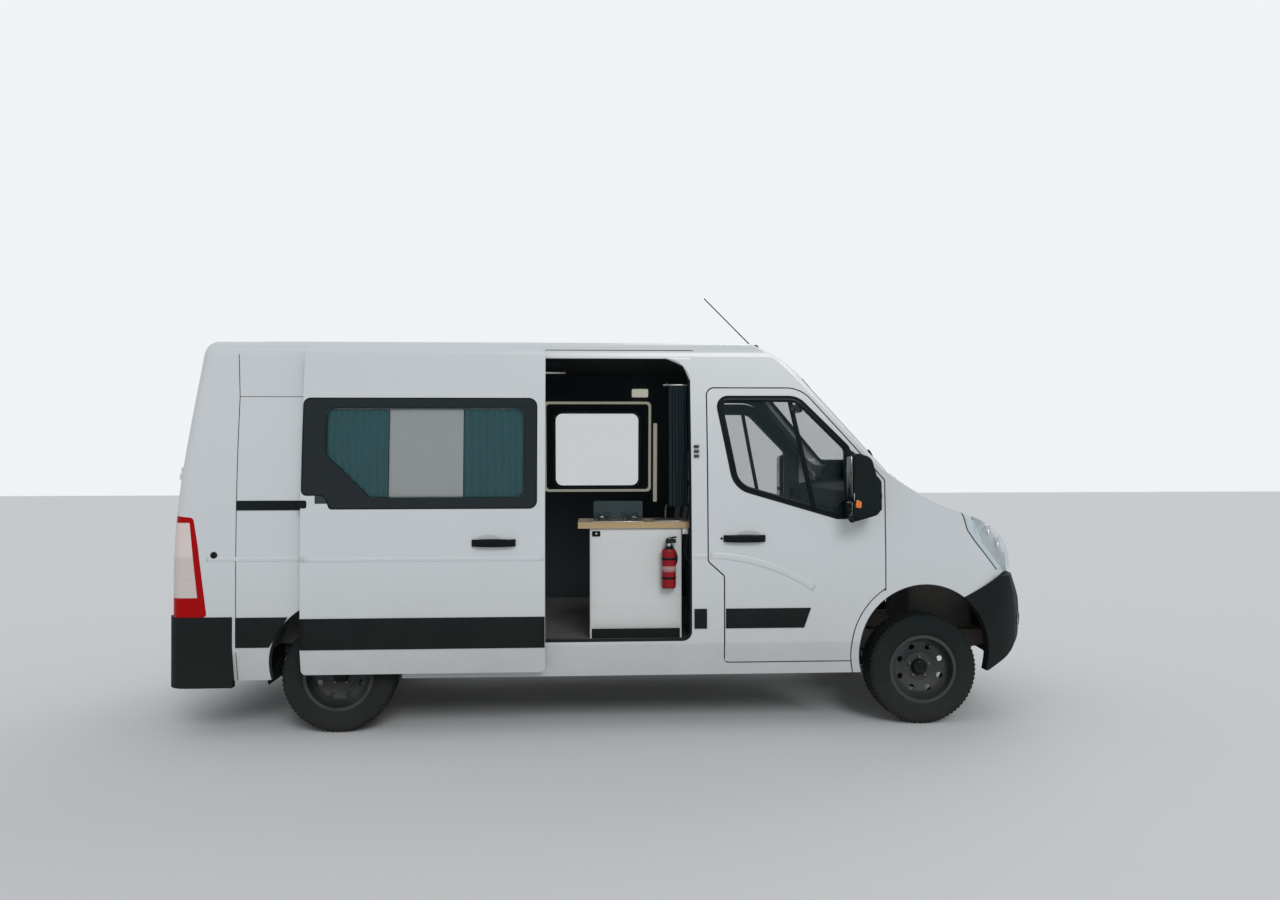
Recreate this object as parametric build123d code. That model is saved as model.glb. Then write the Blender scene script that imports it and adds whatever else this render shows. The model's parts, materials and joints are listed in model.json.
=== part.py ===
from build123d import *
from math import acos, cos, hypot, pi, radians, sin, tan
import os

os.makedirs("parts", exist_ok=True)

# Camper van, millimetres. X runs forward, Y to the left, Z up from the ground.
# The origin lies on the ground under the middle of the van's length.

# Driving sizes of the whole van
LENGTH = 5548.0
HEIGHT = 2499.0
BODY_WIDTH = 2070.0
WHEELBASE = 3682.0
FRONT_OVERHANG = 842.0
FRONT_TRACK = 1750.0
REAR_TRACK = 1730.0
HALF = LENGTH / 2
SIDE = BODY_WIDTH / 2
FRONT_AXLE = HALF - FRONT_OVERHANG
REAR_AXLE = FRONT_AXLE - WHEELBASE

# Body shell
WALL = 60.0
SILL_BOTTOM = 340.0
SHUT_GAP = 8.0
PANEL_GAP = 0.5
SEAT_GAP = 0.3
ROOF_SEAM = HEIGHT - 94.0
HEADER_LOW = ROOF_SEAM - 170.0
ROOF_CORNER_SIDE = 912.0
ROOF_CORNER_HEIGHT = HEIGHT - 69.0
ROOF_CORNER_RADIUS = 110.0
ROOF_SLOPE = 0.106
TUMBLE_HEIGHT = HEIGHT - 809.0
TUMBLE_INSET = 21.0
TUMBLE_RADIUS = 7000.0
BELT_HEIGHT = 1085.0
BELT_RADIUS = 2500.0
SILL_TOP = 540.0
SILL_INSET = 40.0
REAR_FACE = -HALF + 29.0
REAR_LEAN_HEIGHT = 1290.0
REAR_LEAN_RADIUS = 6000.0
REAR_LEAN_RUN = 188.0
REAR_DOOR_THICKNESS = 68.0
REAR_CORNER_RADIUS = 80.0

# Floor and chassis
FLOOR_TOP = 557.0
FLOOR_THICKNESS = 45.0
WHEELHOUSE_GAP = 62.5

# Wheels
TYRE_RADIUS = 349.5
TYRE_WIDTH = 225.0
RIM_RADIUS = 215.0
STEER_OFFSET = 60.0
ARCH_RADIUS_FRONT = 424.0
ARCH_RADIUS_REAR = 403.0
ARCH_CENTRE_FRONT = 470.0
ARCH_CENTRE_REAR = 430.0
ARCH_LIP = 50.0

# Doors
FRONT_DOOR_REAR = 553.0
FRONT_DOOR_FRONT = 1672.0
FRONT_DOOR_TOP = HEIGHT - 358.0
FRONT_DOOR_BOTTOM = 420.0
DOORWAY_REAR = -790.0
DOORWAY_FRONT = 447.0
DOORWAY_TOP = HEIGHT - 167.0
SLIDE_DOOR_REAR = -1945.0
SLIDE_DOOR_FRONT = -466.0
SLIDE_DOOR_BOTTOM = 384.0
SLIDE_DOOR_TOP = ROOF_SEAM - 5.0
SLIDE_DOOR_OUT = 72.0
SLIDE_DOOR_WALL = 42.0
GLASS = 6.0


def lift(a, b, axis, at):
    """The 3-D point of a flat outline: x,z at y; x,y at z; or y,z at x."""
    if axis == "y":
        return Vector(a, at, b)
    if axis == "z":
        return Vector(a, b, at)
    return Vector(at, a, b)


def inset_rows(rows, amount):
    """The same outline, drawn anticlockwise, with every side moved inward."""
    count = len(rows)
    sides = []
    for index in range(count):
        ax, ay = rows[index][:2]
        bx, by = rows[(index + 1) % count][:2]
        length = hypot(bx - ax, by - ay)
        ux, uy = (bx - ax) / length, (by - ay) / length
        sides.append((ax - uy * amount, ay + ux * amount, ux, uy))
    moved = []
    for index in range(count):
        px, py, ux, uy = sides[index - 1]
        qx, qy, vx, vy = sides[index]
        turn = ux * vy - uy * vx
        reach = ((qx - px) * vy - (qy - py) * vx) / turn
        radius = rows[index][2]
        if radius > 0:
            radius = max(radius - amount if turn > 0 else radius + amount, 4.0)
        moved.append((px + ux * reach, py + uy * reach, radius))
    return moved


def corner_ways(rows, index):
    """Unit vectors from a corner to its neighbours, and half the angle between them."""
    corner = Vector(*rows[index][:2], 0)
    back = (Vector(*rows[index - 1][:2], 0) - corner).normalized()
    ahead = (Vector(*rows[(index + 1) % len(rows)][:2], 0) - corner).normalized()
    return back, ahead, acos(max(-1.0, min(1.0, back.dot(ahead)))) / 2


def outline(rows, axis, at):
    """A closed wire of lines and corner arcs from rows of (a, b, corner radius).

    Where the arcs at both ends of a side are longer than the side, it limits both of them."""
    count = len(rows)
    cuts = []
    for index, (a, b, radius) in enumerate(rows):
        cuts.append(radius / tan(corner_ways(rows, index)[2]) if radius > 0 else 0)
    limits = [1.0] * count
    for index in range(count):
        following = (index + 1) % count
        length = hypot(rows[following][0] - rows[index][0], rows[following][1] - rows[index][1])
        if cuts[index] > 0 and cuts[following] > 0 and cuts[index] + cuts[following] > length:
            share = 0.98 * length / (cuts[index] + cuts[following])
            limits[index] = min(limits[index], share)
            limits[following] = min(limits[following], share)
    corners = []
    for index, (a, b, radius) in enumerate(rows):
        corner = Vector(a, b, 0)
        if radius <= 0:
            corners.append((corner, None, corner))
            continue
        back, ahead, half = corner_ways(rows, index)
        radius = radius * limits[index]
        cut = cuts[index] * limits[index]
        middle = corner + (back + ahead).normalized() * (radius / sin(half) - radius)
        corners.append((corner + back * cut, middle, corner + ahead * cut))
    edges = []
    for index, (first, middle, last) in enumerate(corners):
        start = lift(first.X, first.Y, axis, at)
        end = lift(last.X, last.Y, axis, at)
        if middle is not None:
            edges.append(Edge.make_three_point_arc(start, lift(middle.X, middle.Y, axis, at), end))
        following = corners[(index + 1) % count][0]
        if (following - last).length > 1e-6:
            edges.append(Edge.make_line(end, lift(following.X, following.Y, axis, at)))
    return Wire(edges)


def prism(rows, axis, low, high):
    """Push an outline straight along its axis."""
    along = {"x": Vector(1, 0, 0), "y": Vector(0, 1, 0), "z": Vector(0, 0, 1)}[axis]
    return Solid.extrude(Face(outline(rows, axis, low)), along * (high - low))


def block(x0, x1, y0, y1, z0, z1):
    """A plain box between six limits."""
    return Solid.make_box(x1 - x0, y1 - y0, z1 - z0, Plane((x0, y0, z0)))


def rod(radius, axis, first, second, low, high):
    """A round bar along x, y or z, at the two other coordinates."""
    facing = {"x": Vector(1, 0, 0), "y": Vector(0, 1, 0), "z": Vector(0, 0, 1)}[axis]
    base = {"x": Vector(low, first, second), "y": Vector(first, low, second),
            "z": Vector(first, second, low)}[axis]
    return Solid.make_cylinder(radius, high - low, Plane(base, z_dir=facing))


def wheel_turned(rows, x, y, z):
    """Turn an outline of (y offset, radius) about the wheel's axle."""
    wire = outline(rows, "x", x)
    face = Face(wire).moved(Location((0, y, z)))
    return Solid.revolve(face, 360, Axis((x, y, z), (0, 1, 0)))


def mirror_y(shape):
    """The same piece on the other side of the van."""
    return mirror(shape, about=Plane.XZ)


def single(shape):
    """The largest solid of a result that should hold one."""
    solids = sorted(shape.solids(), key=lambda s: s.volume)
    return solids[-1]


def section_rows(grow):
    """Half-symmetric cross-section of the body, (y, z, radius), drawn inset by grow."""
    crown_rise = ROOF_CORNER_SIDE * tan(ROOF_SLOPE)
    crown = (crown_rise - (HEIGHT - ROOF_CORNER_HEIGHT)) / (1 / cos(ROOF_SLOPE) - 1)
    right = [(SIDE - SILL_INSET, SILL_BOTTOM, 0), (SIDE, SILL_TOP, 0), (SIDE, BELT_HEIGHT, BELT_RADIUS),
             (SIDE - TUMBLE_INSET, TUMBLE_HEIGHT, TUMBLE_RADIUS),
             (ROOF_CORNER_SIDE, ROOF_CORNER_HEIGHT, ROOF_CORNER_RADIUS)]
    left = [(-y, z, r) for y, z, r in reversed(right)]
    rows = right + [(0, ROOF_CORNER_HEIGHT + crown_rise, crown)] + left
    return inset_rows(rows, grow) if grow else rows


def rear_rows(grow):
    """The side view's limits at the rear, (x, z, radius)."""
    rows = [(REAR_FACE, 100, 0), (HALF + 200, 100, 0), (HALF + 200, HEIGHT + 200, 0),
            (REAR_FACE + REAR_LEAN_RUN, HEIGHT + 200, 0), (REAR_FACE, REAR_LEAN_HEIGHT, REAR_LEAN_RADIUS)]
    return inset_rows(rows, grow) if grow else rows


def plan_rows(grow):
    """The plan view's limits round the nose, (x, y, radius)."""
    nose = [(1300, -SIDE - 28, 0), (HALF - 315, -SIDE + 37, 500), (HALF - 32, -462, 600)]
    mirrored = [(x, -y, r) for x, y, r in reversed(nose)]
    rows = ([(-HALF - 200, -SIDE - 28, 0)] + nose + [(HALF + 16, -420, 0), (HALF + 16, 420, 0)]
            + mirrored + [(-HALF - 200, SIDE + 28, 0)])
    return inset_rows(rows, grow) if grow else rows


SCREEN_AXIS = -700.0
NOSE_AXIS = -1126.0


def screen_rows(grow):
    """Centre-line profile of roof front and windscreen, (x, z, radius)."""
    rows = [(SCREEN_AXIS, 150, 0), (1905, 150, 0), (1905, 1579, 0), (1095, HEIGHT + 3, 768),
            (SCREEN_AXIS, HEIGHT + 3, 0)]
    moved = inset_rows(rows, grow) if grow else rows
    return [(SCREEN_AXIS if index in (0, 4) else x, z, r) for index, (x, z, r) in enumerate(moved)]


def nose_rows(grow):
    """Centre-line profile of the bonnet and front face, (x, z, radius)."""
    rows = [(NOSE_AXIS, 250, 0), (HALF - 184, 250, 0), (HALF - 134, 300, 60), (HALF, 520, 250),
            (HALF, 740, 60), (HALF - 98, 930, 120), (HALF - 131, 1216, 380), (2060, 1458, 1500),
            (1800, 1655, 0), (NOSE_AXIS, 1655, 0)]
    moved = inset_rows(rows, grow) if grow else rows
    return [(NOSE_AXIS if index in (0, 9) else x, z, r) for index, (x, z, r) in enumerate(moved)]


def body_solid(grow, rear_grow, floor):
    """The closed outer form of the body, with every surface moved inward by grow."""
    rows = section_rows(grow)
    if floor < SILL_BOTTOM:
        rows = [(y, floor, 0) if index in (0, len(rows) - 1) else (y, z, r)
                for index, (y, z, r) in enumerate(rows)]
    body = prism(rows, "x", -HALF - 100, HALF + 100)
    body = body & prism(rear_rows(rear_grow), "y", -SIDE - 100, SIDE + 100)
    body = single(body)
    corner = [e for e in body.edges() if e.bounding_box().max.X < -HALF + 260
              and e.bounding_box().min.Z > SILL_BOTTOM + 5 and e.length > 3]
    radius = max(REAR_CORNER_RADIUS - grow, 15)
    if not grow:
        body = body.fillet(radius, corner)
    screen = Solid.revolve(Face(outline(screen_rows(grow), "y", 0)), 360,
                           Axis((SCREEN_AXIS, 0, 0), (0, 0, 1)))
    nose = Solid.revolve(Face(outline(nose_rows(grow), "y", 0)), 360,
                         Axis((NOSE_AXIS, 0, 0), (0, 0, 1)))
    nose = nose & block(-HALF - 300, HALF + 300, -SIDE - 200, SIDE + 200, 0, HEIGHT)
    cabin = block(-HALF - 300, SCREEN_AXIS + 800, -SIDE - 200, SIDE + 200, 0, HEIGHT + 100)
    body = single(body & (cabin + screen + nose))
    return single(body & prism(plan_rows(grow), "z", 0, HEIGHT + 200))



def slab(outer_inset, inner_inset, x0, x1):
    """A skin of the body's side between two depths, from x0 to x1."""
    return (prism(section_rows(outer_inset), "x", x0, x1)
            - prism(section_rows(inner_inset), "x", x0 - 5, x1 + 5))


def rear_slab(outer_inset, inner_inset):
    """A skin of the rear face between two depths."""
    return (prism(rear_rows(outer_inset), "y", -SIDE, SIDE)
            - prism(rear_rows(inner_inset), "y", -SIDE - 5, SIDE + 5))


PIECES = {}


def keep(name, shape):
    """Record one finished piece under its node name."""
    solids = shape.solids()
    PIECES[name] = solids[0] if len(solids) == 1 else Compound(solids)


def keep_pair(name, left):
    """Record a left piece and its mirror image."""
    keep(name + "_left", left)
    keep(name + "_right", mirror_y(left))


OUTER = body_solid(0, 0, SILL_BOTTOM)
INNER = body_solid(WALL, REAR_DOOR_THICKNESS, 200)
SHELL = single(OUTER - INNER)
LEFT = block(-HALF - 300, HALF + 300, 2, SIDE + 300, 0, HEIGHT + 200)
LEFT_SHELL = single(SHELL & LEFT)

# Outlines of the panels in the side view, (x, z, radius)
KINK = 102
door_rows = [(FRONT_DOOR_REAR + KINK, FRONT_DOOR_BOTTOM, 25), (FRONT_DOOR_FRONT, FRONT_DOOR_BOTTOM, 0),
             (FRONT_DOOR_FRONT, 1556, 12), (1151, FRONT_DOOR_TOP, 200),
             (FRONT_DOOR_REAR, FRONT_DOOR_TOP, 45), (FRONT_DOOR_REAR, 1054, 30),
             (FRONT_DOOR_REAR + KINK, 962, 30)]
WINDOW_TOP = FRONT_DOOR_TOP - 57.0
window_rows = [(722, 1514, 150), (1370, 1323, 40), (1451, 1323, 30), (1451, WINDOW_TOP - 324, 60),
               (1130, WINDOW_TOP, 130), (612, WINDOW_TOP, 60)]
arch_disc = rod(ARCH_RADIUS_FRONT + ARCH_LIP + SHUT_GAP, "y", FRONT_AXLE, ARCH_CENTRE_FRONT, -1300, 1300)
arch_lip = rod(ARCH_RADIUS_FRONT + ARCH_LIP, "y", FRONT_AXLE, ARCH_CENTRE_FRONT, -1300, 1300)
arch_front = rod(ARCH_RADIUS_FRONT, "y", FRONT_AXLE, ARCH_CENTRE_FRONT, -1300, 1300)
arch_rear = rod(ARCH_RADIUS_REAR, "y", REAR_AXLE, ARCH_CENTRE_REAR, -1300, 1300)

# Front view outlines, (y, z, radius)
SCREEN_LOW = 1640.0
SCREEN_HIGH = HEADER_LOW - 10.0
screen_open = [(-825, SCREEN_LOW, 60), (825, SCREEN_LOW, 60), (735, SCREEN_HIGH, 70), (-735, SCREEN_HIGH, 70)]
HEADER_HALF = 750.0
header = [(-HEADER_HALF, HEADER_LOW, 0), (HEADER_HALF, HEADER_LOW, 0), (HEADER_HALF, ROOF_SEAM, 0),
          (SIDE + 90, ROOF_SEAM, 0), (SIDE + 90, HEIGHT + 90, 0), (-SIDE - 90, HEIGHT + 90, 0),
          (-SIDE - 90, ROOF_SEAM, 0), (-HEADER_HALF, ROOF_SEAM, 0)]
REAR_DOOR_EDGE = 860.0
REAR_DOOR_TOP = ROOF_SEAM - 20.0
REAR_DOOR_BOTTOM = 560.0
REAR_MEETING_GAP = 10.0
REAR_DOOR_FLANGE = 12.0
REAR_DOOR_RECESS = 32.0
rear_door_rows = [(REAR_MEETING_GAP / 2, REAR_DOOR_BOTTOM, 0), (REAR_DOOR_EDGE, REAR_DOOR_BOTTOM, 30),
                  (REAR_DOOR_EDGE, REAR_DOOR_TOP, 70), (REAR_MEETING_GAP / 2, REAR_DOOR_TOP, 0)]
rear_opening = [(-REAR_DOOR_EDGE - SHUT_GAP, REAR_DOOR_BOTTOM - SHUT_GAP, 30),
                (REAR_DOOR_EDGE + SHUT_GAP, REAR_DOOR_BOTTOM - SHUT_GAP, 30),
                (REAR_DOOR_EDGE + SHUT_GAP, REAR_DOOR_TOP + SHUT_GAP, 78),
                (-REAR_DOOR_EDGE - SHUT_GAP, REAR_DOOR_TOP + SHUT_GAP, 78)]
rear_hole = prism(rear_opening, "x", -HALF - 100, REAR_FACE + 400)

# Front door, left, with its window rebate
front_door = single((LEFT_SHELL & prism(door_rows, "y", 0, SIDE + 90)) - arch_disc)
pane_space = prism(window_rows, "y", 0, SIDE + 90)
front_door = front_door - (slab(-5, GLASS + 2, 500, 1600) & pane_space)
front_door = single(front_door - prism(inset_rows(window_rows, 22), "y", 0, SIDE + 90))
front_glass = single(slab(1, GLASS + 2 - SEAT_GAP, 500, 1600)
                     & prism(inset_rows(window_rows, PANEL_GAP), "y", 0, SIDE + 90))
keep_pair("front_door", front_door)
keep_pair("front_glass", front_glass)

# Windscreen and the roof with the header over it
screen_shell = (SHELL & prism(inset_rows(screen_open, PANEL_GAP), "x", 1000, 2100))
thin = Solid.revolve(Face(outline(screen_rows(7), "y", 0)), 360, Axis((SCREEN_AXIS, 0, 0), (0, 0, 1)))
keep("windscreen", single(screen_shell - thin))
roof = SHELL & prism(header, "x", -HALF - 100, HALF)
roof = roof - prism(screen_open, "x", 1000, 2100)
roof = single(roof - rear_hole)
keep("roof_panel", roof)

# Body sides
WING_TOP = 1590.0
side_field = [(-HALF - 100, 200, 0), (FRONT_DOOR_FRONT + SHUT_GAP, 200, 0),
              (FRONT_DOOR_FRONT + SHUT_GAP, WING_TOP + PANEL_GAP, 0), (1960, WING_TOP + PANEL_GAP, 0),
              (1960, HEIGHT + 101, 0), (-HALF - 100, HEIGHT + 101, 0)]
side = LEFT_SHELL & prism(side_field, "y", 0, SIDE + 90)
HEADER_CUT = HEADER_HALF + PANEL_GAP
SEAM_CUT = ROOF_SEAM - PANEL_GAP
header_cut = [(-HEADER_CUT, HEADER_LOW - PANEL_GAP, 0), (HEADER_CUT, HEADER_LOW - PANEL_GAP, 0),
              (HEADER_CUT, SEAM_CUT, 0), (SIDE + 90, SEAM_CUT, 0), (SIDE + 90, HEIGHT + 90, 0),
              (-SIDE - 90, HEIGHT + 90, 0), (-SIDE - 90, SEAM_CUT, 0), (-HEADER_CUT, SEAM_CUT, 0)]
side = side - prism(header_cut, "x", -HALF - 100, HALF)
side = side - prism(screen_open, "x", 1000, 2100)
side = side - prism(inset_rows(door_rows, -SHUT_GAP), "y", 0, SIDE + 90)
COWL_HALF = 830.0
COWL_LOW = 1390.0
cowl_view = prism([(-COWL_HALF, COWL_LOW, 0), (COWL_HALF, COWL_LOW, 0),
                   (COWL_HALF, SCREEN_LOW - PANEL_GAP, 0), (-COWL_HALF, SCREEN_LOW - PANEL_GAP, 0)],
                  "x", 1700, 2100)
COWL_CUT = COWL_HALF + PANEL_GAP
cowl_clear = prism([(-COWL_CUT, COWL_LOW - 10, 0), (COWL_CUT, COWL_LOW - 10, 0),
                    (COWL_CUT, SCREEN_LOW, 0), (-COWL_CUT, SCREEN_LOW, 0)], "x", 1690, 2100)
side = side - arch_disc - arch_rear - rear_hole - cowl_clear

# Seal flanges that the doors close against, behind their free edges
FLANGE = 18.0
FLANGE_LAP = 22.0
behind = block(400, 700, 0, SIDE + 90, 700, 2300)
lap_ring = (prism(inset_rows(door_rows, -32), "y", 0, SIDE + 90)
            - prism(inset_rows(door_rows, FLANGE_LAP), "y", 0, SIDE + 90))
root_ring = (prism(inset_rows(door_rows, -32), "y", 0, SIDE + 90)
             - prism(inset_rows(door_rows, -SHUT_GAP), "y", 0, SIDE + 90))
side = side + (slab(WALL + SEAT_GAP, WALL + FLANGE, 400, 700) & lap_ring & behind)
side = side + (slab(WALL - 1, WALL + FLANGE, 400, 700) & root_ring & behind)
rear_lap = block(-HALF, -2000, REAR_DOOR_EDGE - FLANGE_LAP, SIDE - WALL + 10, FLOOR_TOP + SEAT_GAP,
                 REAR_DOOR_TOP - 60)
rear_root = block(-HALF, -2000, REAR_DOOR_EDGE + SHUT_GAP, SIDE - WALL + 10, FLOOR_TOP + SEAT_GAP,
                  REAR_DOOR_TOP - 60)
within = prism(section_rows(WALL - 5), "x", -HALF, -2000)
side = side + (rear_slab(REAR_DOOR_THICKNESS + SEAT_GAP, REAR_DOOR_THICKNESS + FLANGE) & rear_lap & within)
side = side + (rear_slab(REAR_DOOR_THICKNESS - 1, REAR_DOOR_THICKNESS + FLANGE) & rear_root & within)
side = single(side)
# Rear door hinges: a barrel behind the face, on a line that leans forward with the upper door
REAR_HINGE_HEIGHTS = (782.0, 1607.0)
REAR_HINGE_LEAN = 2.0
REAR_HINGE_Z = 1101.5
REAR_HINGE_PROUD = 4.3
REAR_HINGE_X = REAR_FACE - REAR_HINGE_PROUD
REAR_HINGE_Y = REAR_DOOR_EDGE + SHUT_GAP
HINGE_BARREL = 8.0
HINGE_HALF = 38.0
HINGE_LEAF = 25.0
HINGE_BITE = 3.0


def hinge_x(z):
    """The hinge line's x at a height."""
    return REAR_HINGE_X + (z - REAR_HINGE_Z) * tan(radians(REAR_HINGE_LEAN))


def hinge_half(z, end):
    """Half of a rear hinge: a barrel half on the hinge line and its leaf, upper on the door, lower on the pillar."""
    lean = radians(REAR_HINGE_LEAN)
    start = z + 1 if end > 0 else z - 1 - HINGE_HALF
    place = Plane((hinge_x(start), REAR_HINGE_Y, start), z_dir=(sin(lean), 0, cos(lean)))
    barrel = Solid.make_cylinder(HINGE_BARREL, HINGE_HALF, place)
    y0, y1 = sorted((REAR_HINGE_Y, REAR_HINGE_Y - end * HINGE_LEAF))
    leaf = block(hinge_x(z) - HINGE_BARREL, hinge_x(z) + 60, y0, y1, start, start + HINGE_HALF)
    leaf = leaf - prism(rear_rows(HINGE_BITE), "y", y0 - 5, y1 + 5)
    if end > 0:
        leaf = leaf - prism(rear_rows(-1), "y", REAR_DOOR_EDGE - 1, REAR_HINGE_Y + 5)
    return barrel + leaf


LAMP_BOTTOM = 734.0
LAMP_INNER = 895.0
lamp_rows = [(-HALF - 50, LAMP_BOTTOM, 0), (-HALF + 252, LAMP_BOTTOM, 20), (-HALF + 197, 1171, 500),
             (-HALF + 168, 1340, 25), (-HALF - 50, 1362, 0)]
lamp_space = prism(lamp_rows, "y", LAMP_INNER, SIDE + 90)
tail_lamp = single(LEFT_SHELL & prism(inset_rows(lamp_rows, PANEL_GAP), "y", LAMP_INNER + PANEL_GAP, SIDE + 90))
keep_pair("tail_lamp", tail_lamp)
BUMPER_FRONT = -HALF + 404.0
bumper_side = block(-HALF - 50, BUMPER_FRONT, 0, SIDE + 90, 200, LAMP_BOTTOM)
side = side - lamp_space - bumper_side
for hinge_z in REAR_HINGE_HEIGHTS:
    side = side + hinge_half(hinge_z, -1)
side = single(side)

# Rear bumper wraps the corners below the lamps
BUMPER_TOP = REAR_DOOR_BOTTOM - 15.0
BUMPER_BOTTOM = 302.0
BUMPER_SIDE = SIDE + 4.0
BUMPER_WALL = 60.0
BUMPER_END = BUMPER_FRONT - PANEL_GAP
BUMPER_INNER = BUMPER_SIDE - BUMPER_WALL
bumper_plan = [(-HALF, -BUMPER_SIDE, 130), (BUMPER_END, -BUMPER_SIDE, 0), (BUMPER_END, BUMPER_SIDE, 0),
               (-HALF, BUMPER_SIDE, 130)]
bumper_inside = [(-HALF + BUMPER_WALL, -BUMPER_INNER, 50), (BUMPER_END + 70, -BUMPER_INNER, 0),
                 (BUMPER_END + 70, BUMPER_INNER, 0), (-HALF + BUMPER_WALL, BUMPER_INNER, 50)]
bumper = (prism(bumper_plan, "z", BUMPER_BOTTOM, LAMP_BOTTOM - PANEL_GAP)
          - prism(bumper_inside, "z", BUMPER_BOTTOM - 10, LAMP_BOTTOM + 5))
bumper = single(bumper - block(-HALF - 10, BUMPER_END + 70, -REAR_DOOR_EDGE - SHUT_GAP, REAR_DOOR_EDGE + SHUT_GAP,
                               BUMPER_TOP, HEIGHT))
keep("rear_bumper", bumper)

# Rear doors and their glass
REAR_GLASS_TOP = REAR_DOOR_TOP - 235.0
rear_glass_rows = [(95, 1400, 60), (770, 1400, 60), (735, REAR_GLASS_TOP, 60), (95, REAR_GLASS_TOP, 60)]
rear_door = LEFT_SHELL & prism(rear_door_rows, "x", -HALF - 100, REAR_FACE + 400)
rear_door = rear_door & rear_slab(-5, REAR_DOOR_THICKNESS)
rear_door = rear_door - (rear_slab(-5, GLASS + 2) & prism(rear_glass_rows, "x", -HALF - 100, -HALF + 474))
rear_door = rear_door - prism(inset_rows(rear_glass_rows, 22), "x", -HALF - 100, -HALF + 474)
# The doors meet on thin outer flanges, so that either can swing past the other
inner_edge = [(0, REAR_DOOR_BOTTOM - 5, 0), (REAR_DOOR_RECESS, REAR_DOOR_BOTTOM - 5, 0),
              (REAR_DOOR_RECESS, REAR_DOOR_TOP + 5, 0), (0, REAR_DOOR_TOP + 5, 0)]
rear_door = rear_door - (rear_slab(REAR_DOOR_FLANGE, REAR_DOOR_THICKNESS + 5)
                         & prism(inner_edge, "x", -HALF - 100, -HALF + 474))
for hinge_z in REAR_HINGE_HEIGHTS:
    rear_door = rear_door + hinge_half(hinge_z, 1)
keep_pair("rear_door", single(rear_door))
keep_pair("rear_glass", single(rear_slab(1, GLASS + 2 - SEAT_GAP)
                               & prism(inset_rows(rear_glass_rows, PANEL_GAP), "x", -HALF - 100, -HALF + 474)))

# Side windows and doorway
LEFT_WINDOW_TOP = HEIGHT - 399.0
left_window_rows = [(-500, 1440, 90), (250, 1440, 90), (250, LEFT_WINDOW_TOP, 90), (-500, LEFT_WINDOW_TOP, 90)]
side_left = side - (slab(-5, GLASS + 2, -600, 400) & prism(left_window_rows, "y", 0, SIDE + 90))
side_left = side_left - prism(inset_rows(left_window_rows, 22), "y", 0, SIDE + 90)
keep("side_panel_left", single(side_left))
keep("side_glass_left", single(slab(1, GLASS + 2 - SEAT_GAP, -600, 400)
                               & prism(inset_rows(left_window_rows, PANEL_GAP), "y", 0, SIDE + 90)))
doorway_rows = [(DOORWAY_REAR, FLOOR_TOP, 30), (DOORWAY_FRONT, FLOOR_TOP, 60),
                (DOORWAY_FRONT, DOORWAY_TOP, 90), (DOORWAY_REAR, DOORWAY_TOP, 30)]
RAIL_LOW = 1384.0
RAIL_HIGH = 1443.0
RAIL_REAR = -2350.0
side_right = mirror_y(side) - prism(doorway_rows, "y", -SIDE - 90, 0)
side_right = side_right - block(RAIL_REAR, DOORWAY_REAR, -SIDE - 90, 0, RAIL_LOW, RAIL_HIGH)
keep("side_panel_right", side_right)
RAIL_PROUD = 4.0
rail = slab(-RAIL_PROUD, WALL - 5, RAIL_REAR, DOORWAY_REAR)
keep("door_rail", rail & block(RAIL_REAR, DOORWAY_REAR, -SIDE - 90, 0, RAIL_LOW, RAIL_HIGH))

# Sliding door, standing open outside the quarter panel
slide_rows = [(SLIDE_DOOR_REAR, SLIDE_DOOR_BOTTOM, 30), (SLIDE_DOOR_FRONT, SLIDE_DOOR_BOTTOM, 30),
              (SLIDE_DOOR_FRONT, SLIDE_DOOR_TOP, 70), (SLIDE_DOOR_REAR, SLIDE_DOOR_TOP, 50)]
PANE_TOP = SLIDE_DOOR_TOP - 329.0
PANE_REAR = SLIDE_DOOR_REAR + 6.0
PANE_FRONT = SLIDE_DOOR_FRONT - 52.0
CLEAR_TOP = PANE_TOP - 56.0
CLEAR_FRONT = PANE_FRONT - 70.0
CLEAR_REAR = PANE_REAR + 132.0
pane_rows = [(PANE_REAR + 168, 1394, 20), (PANE_FRONT, 1394, 45), (PANE_FRONT, PANE_TOP, 50),
             (PANE_REAR, PANE_TOP, 40), (PANE_REAR, 1478, 30), (PANE_REAR + 139, 1478, 50)]
clear_rows = [(CLEAR_REAR + 274, 1459, 60), (CLEAR_FRONT, 1455, 90), (CLEAR_FRONT, CLEAR_TOP, 80),
              (CLEAR_REAR, CLEAR_TOP, 80), (CLEAR_REAR, CLEAR_TOP - 287, 60)]
slide = slab(0, SLIDE_DOOR_WALL, SLIDE_DOOR_REAR, SLIDE_DOOR_FRONT)
slide = slide & prism(slide_rows, "y", -SIDE - 90, 0)
slide = slide - (slab(-5, GLASS + 1, SLIDE_DOOR_REAR, SLIDE_DOOR_FRONT) & prism(pane_rows, "y", -SIDE - 90, 0))
slide = single(slide - prism(clear_rows, "y", -SIDE - 90, 0))
pane = single(slab(0, GLASS + 1 - SEAT_GAP, SLIDE_DOOR_REAR, SLIDE_DOOR_FRONT)
              & prism(inset_rows(pane_rows, PANEL_GAP), "y", -SIDE - 90, 0))
OUTWARD = Location((0, -SLIDE_DOOR_OUT, 0))
slide = slide.moved(OUTWARD) - prism(section_rows(-3), "x", -2200, 600)
keep("sliding_door_glass", pane.moved(OUTWARD))
arm_inner = prism(section_rows(-RAIL_PROUD - 0.3), "x", -2200, 600)
arm_space = prism(section_rows(SLIDE_DOOR_WALL), "x", -2200, 600).moved(OUTWARD)
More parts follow.
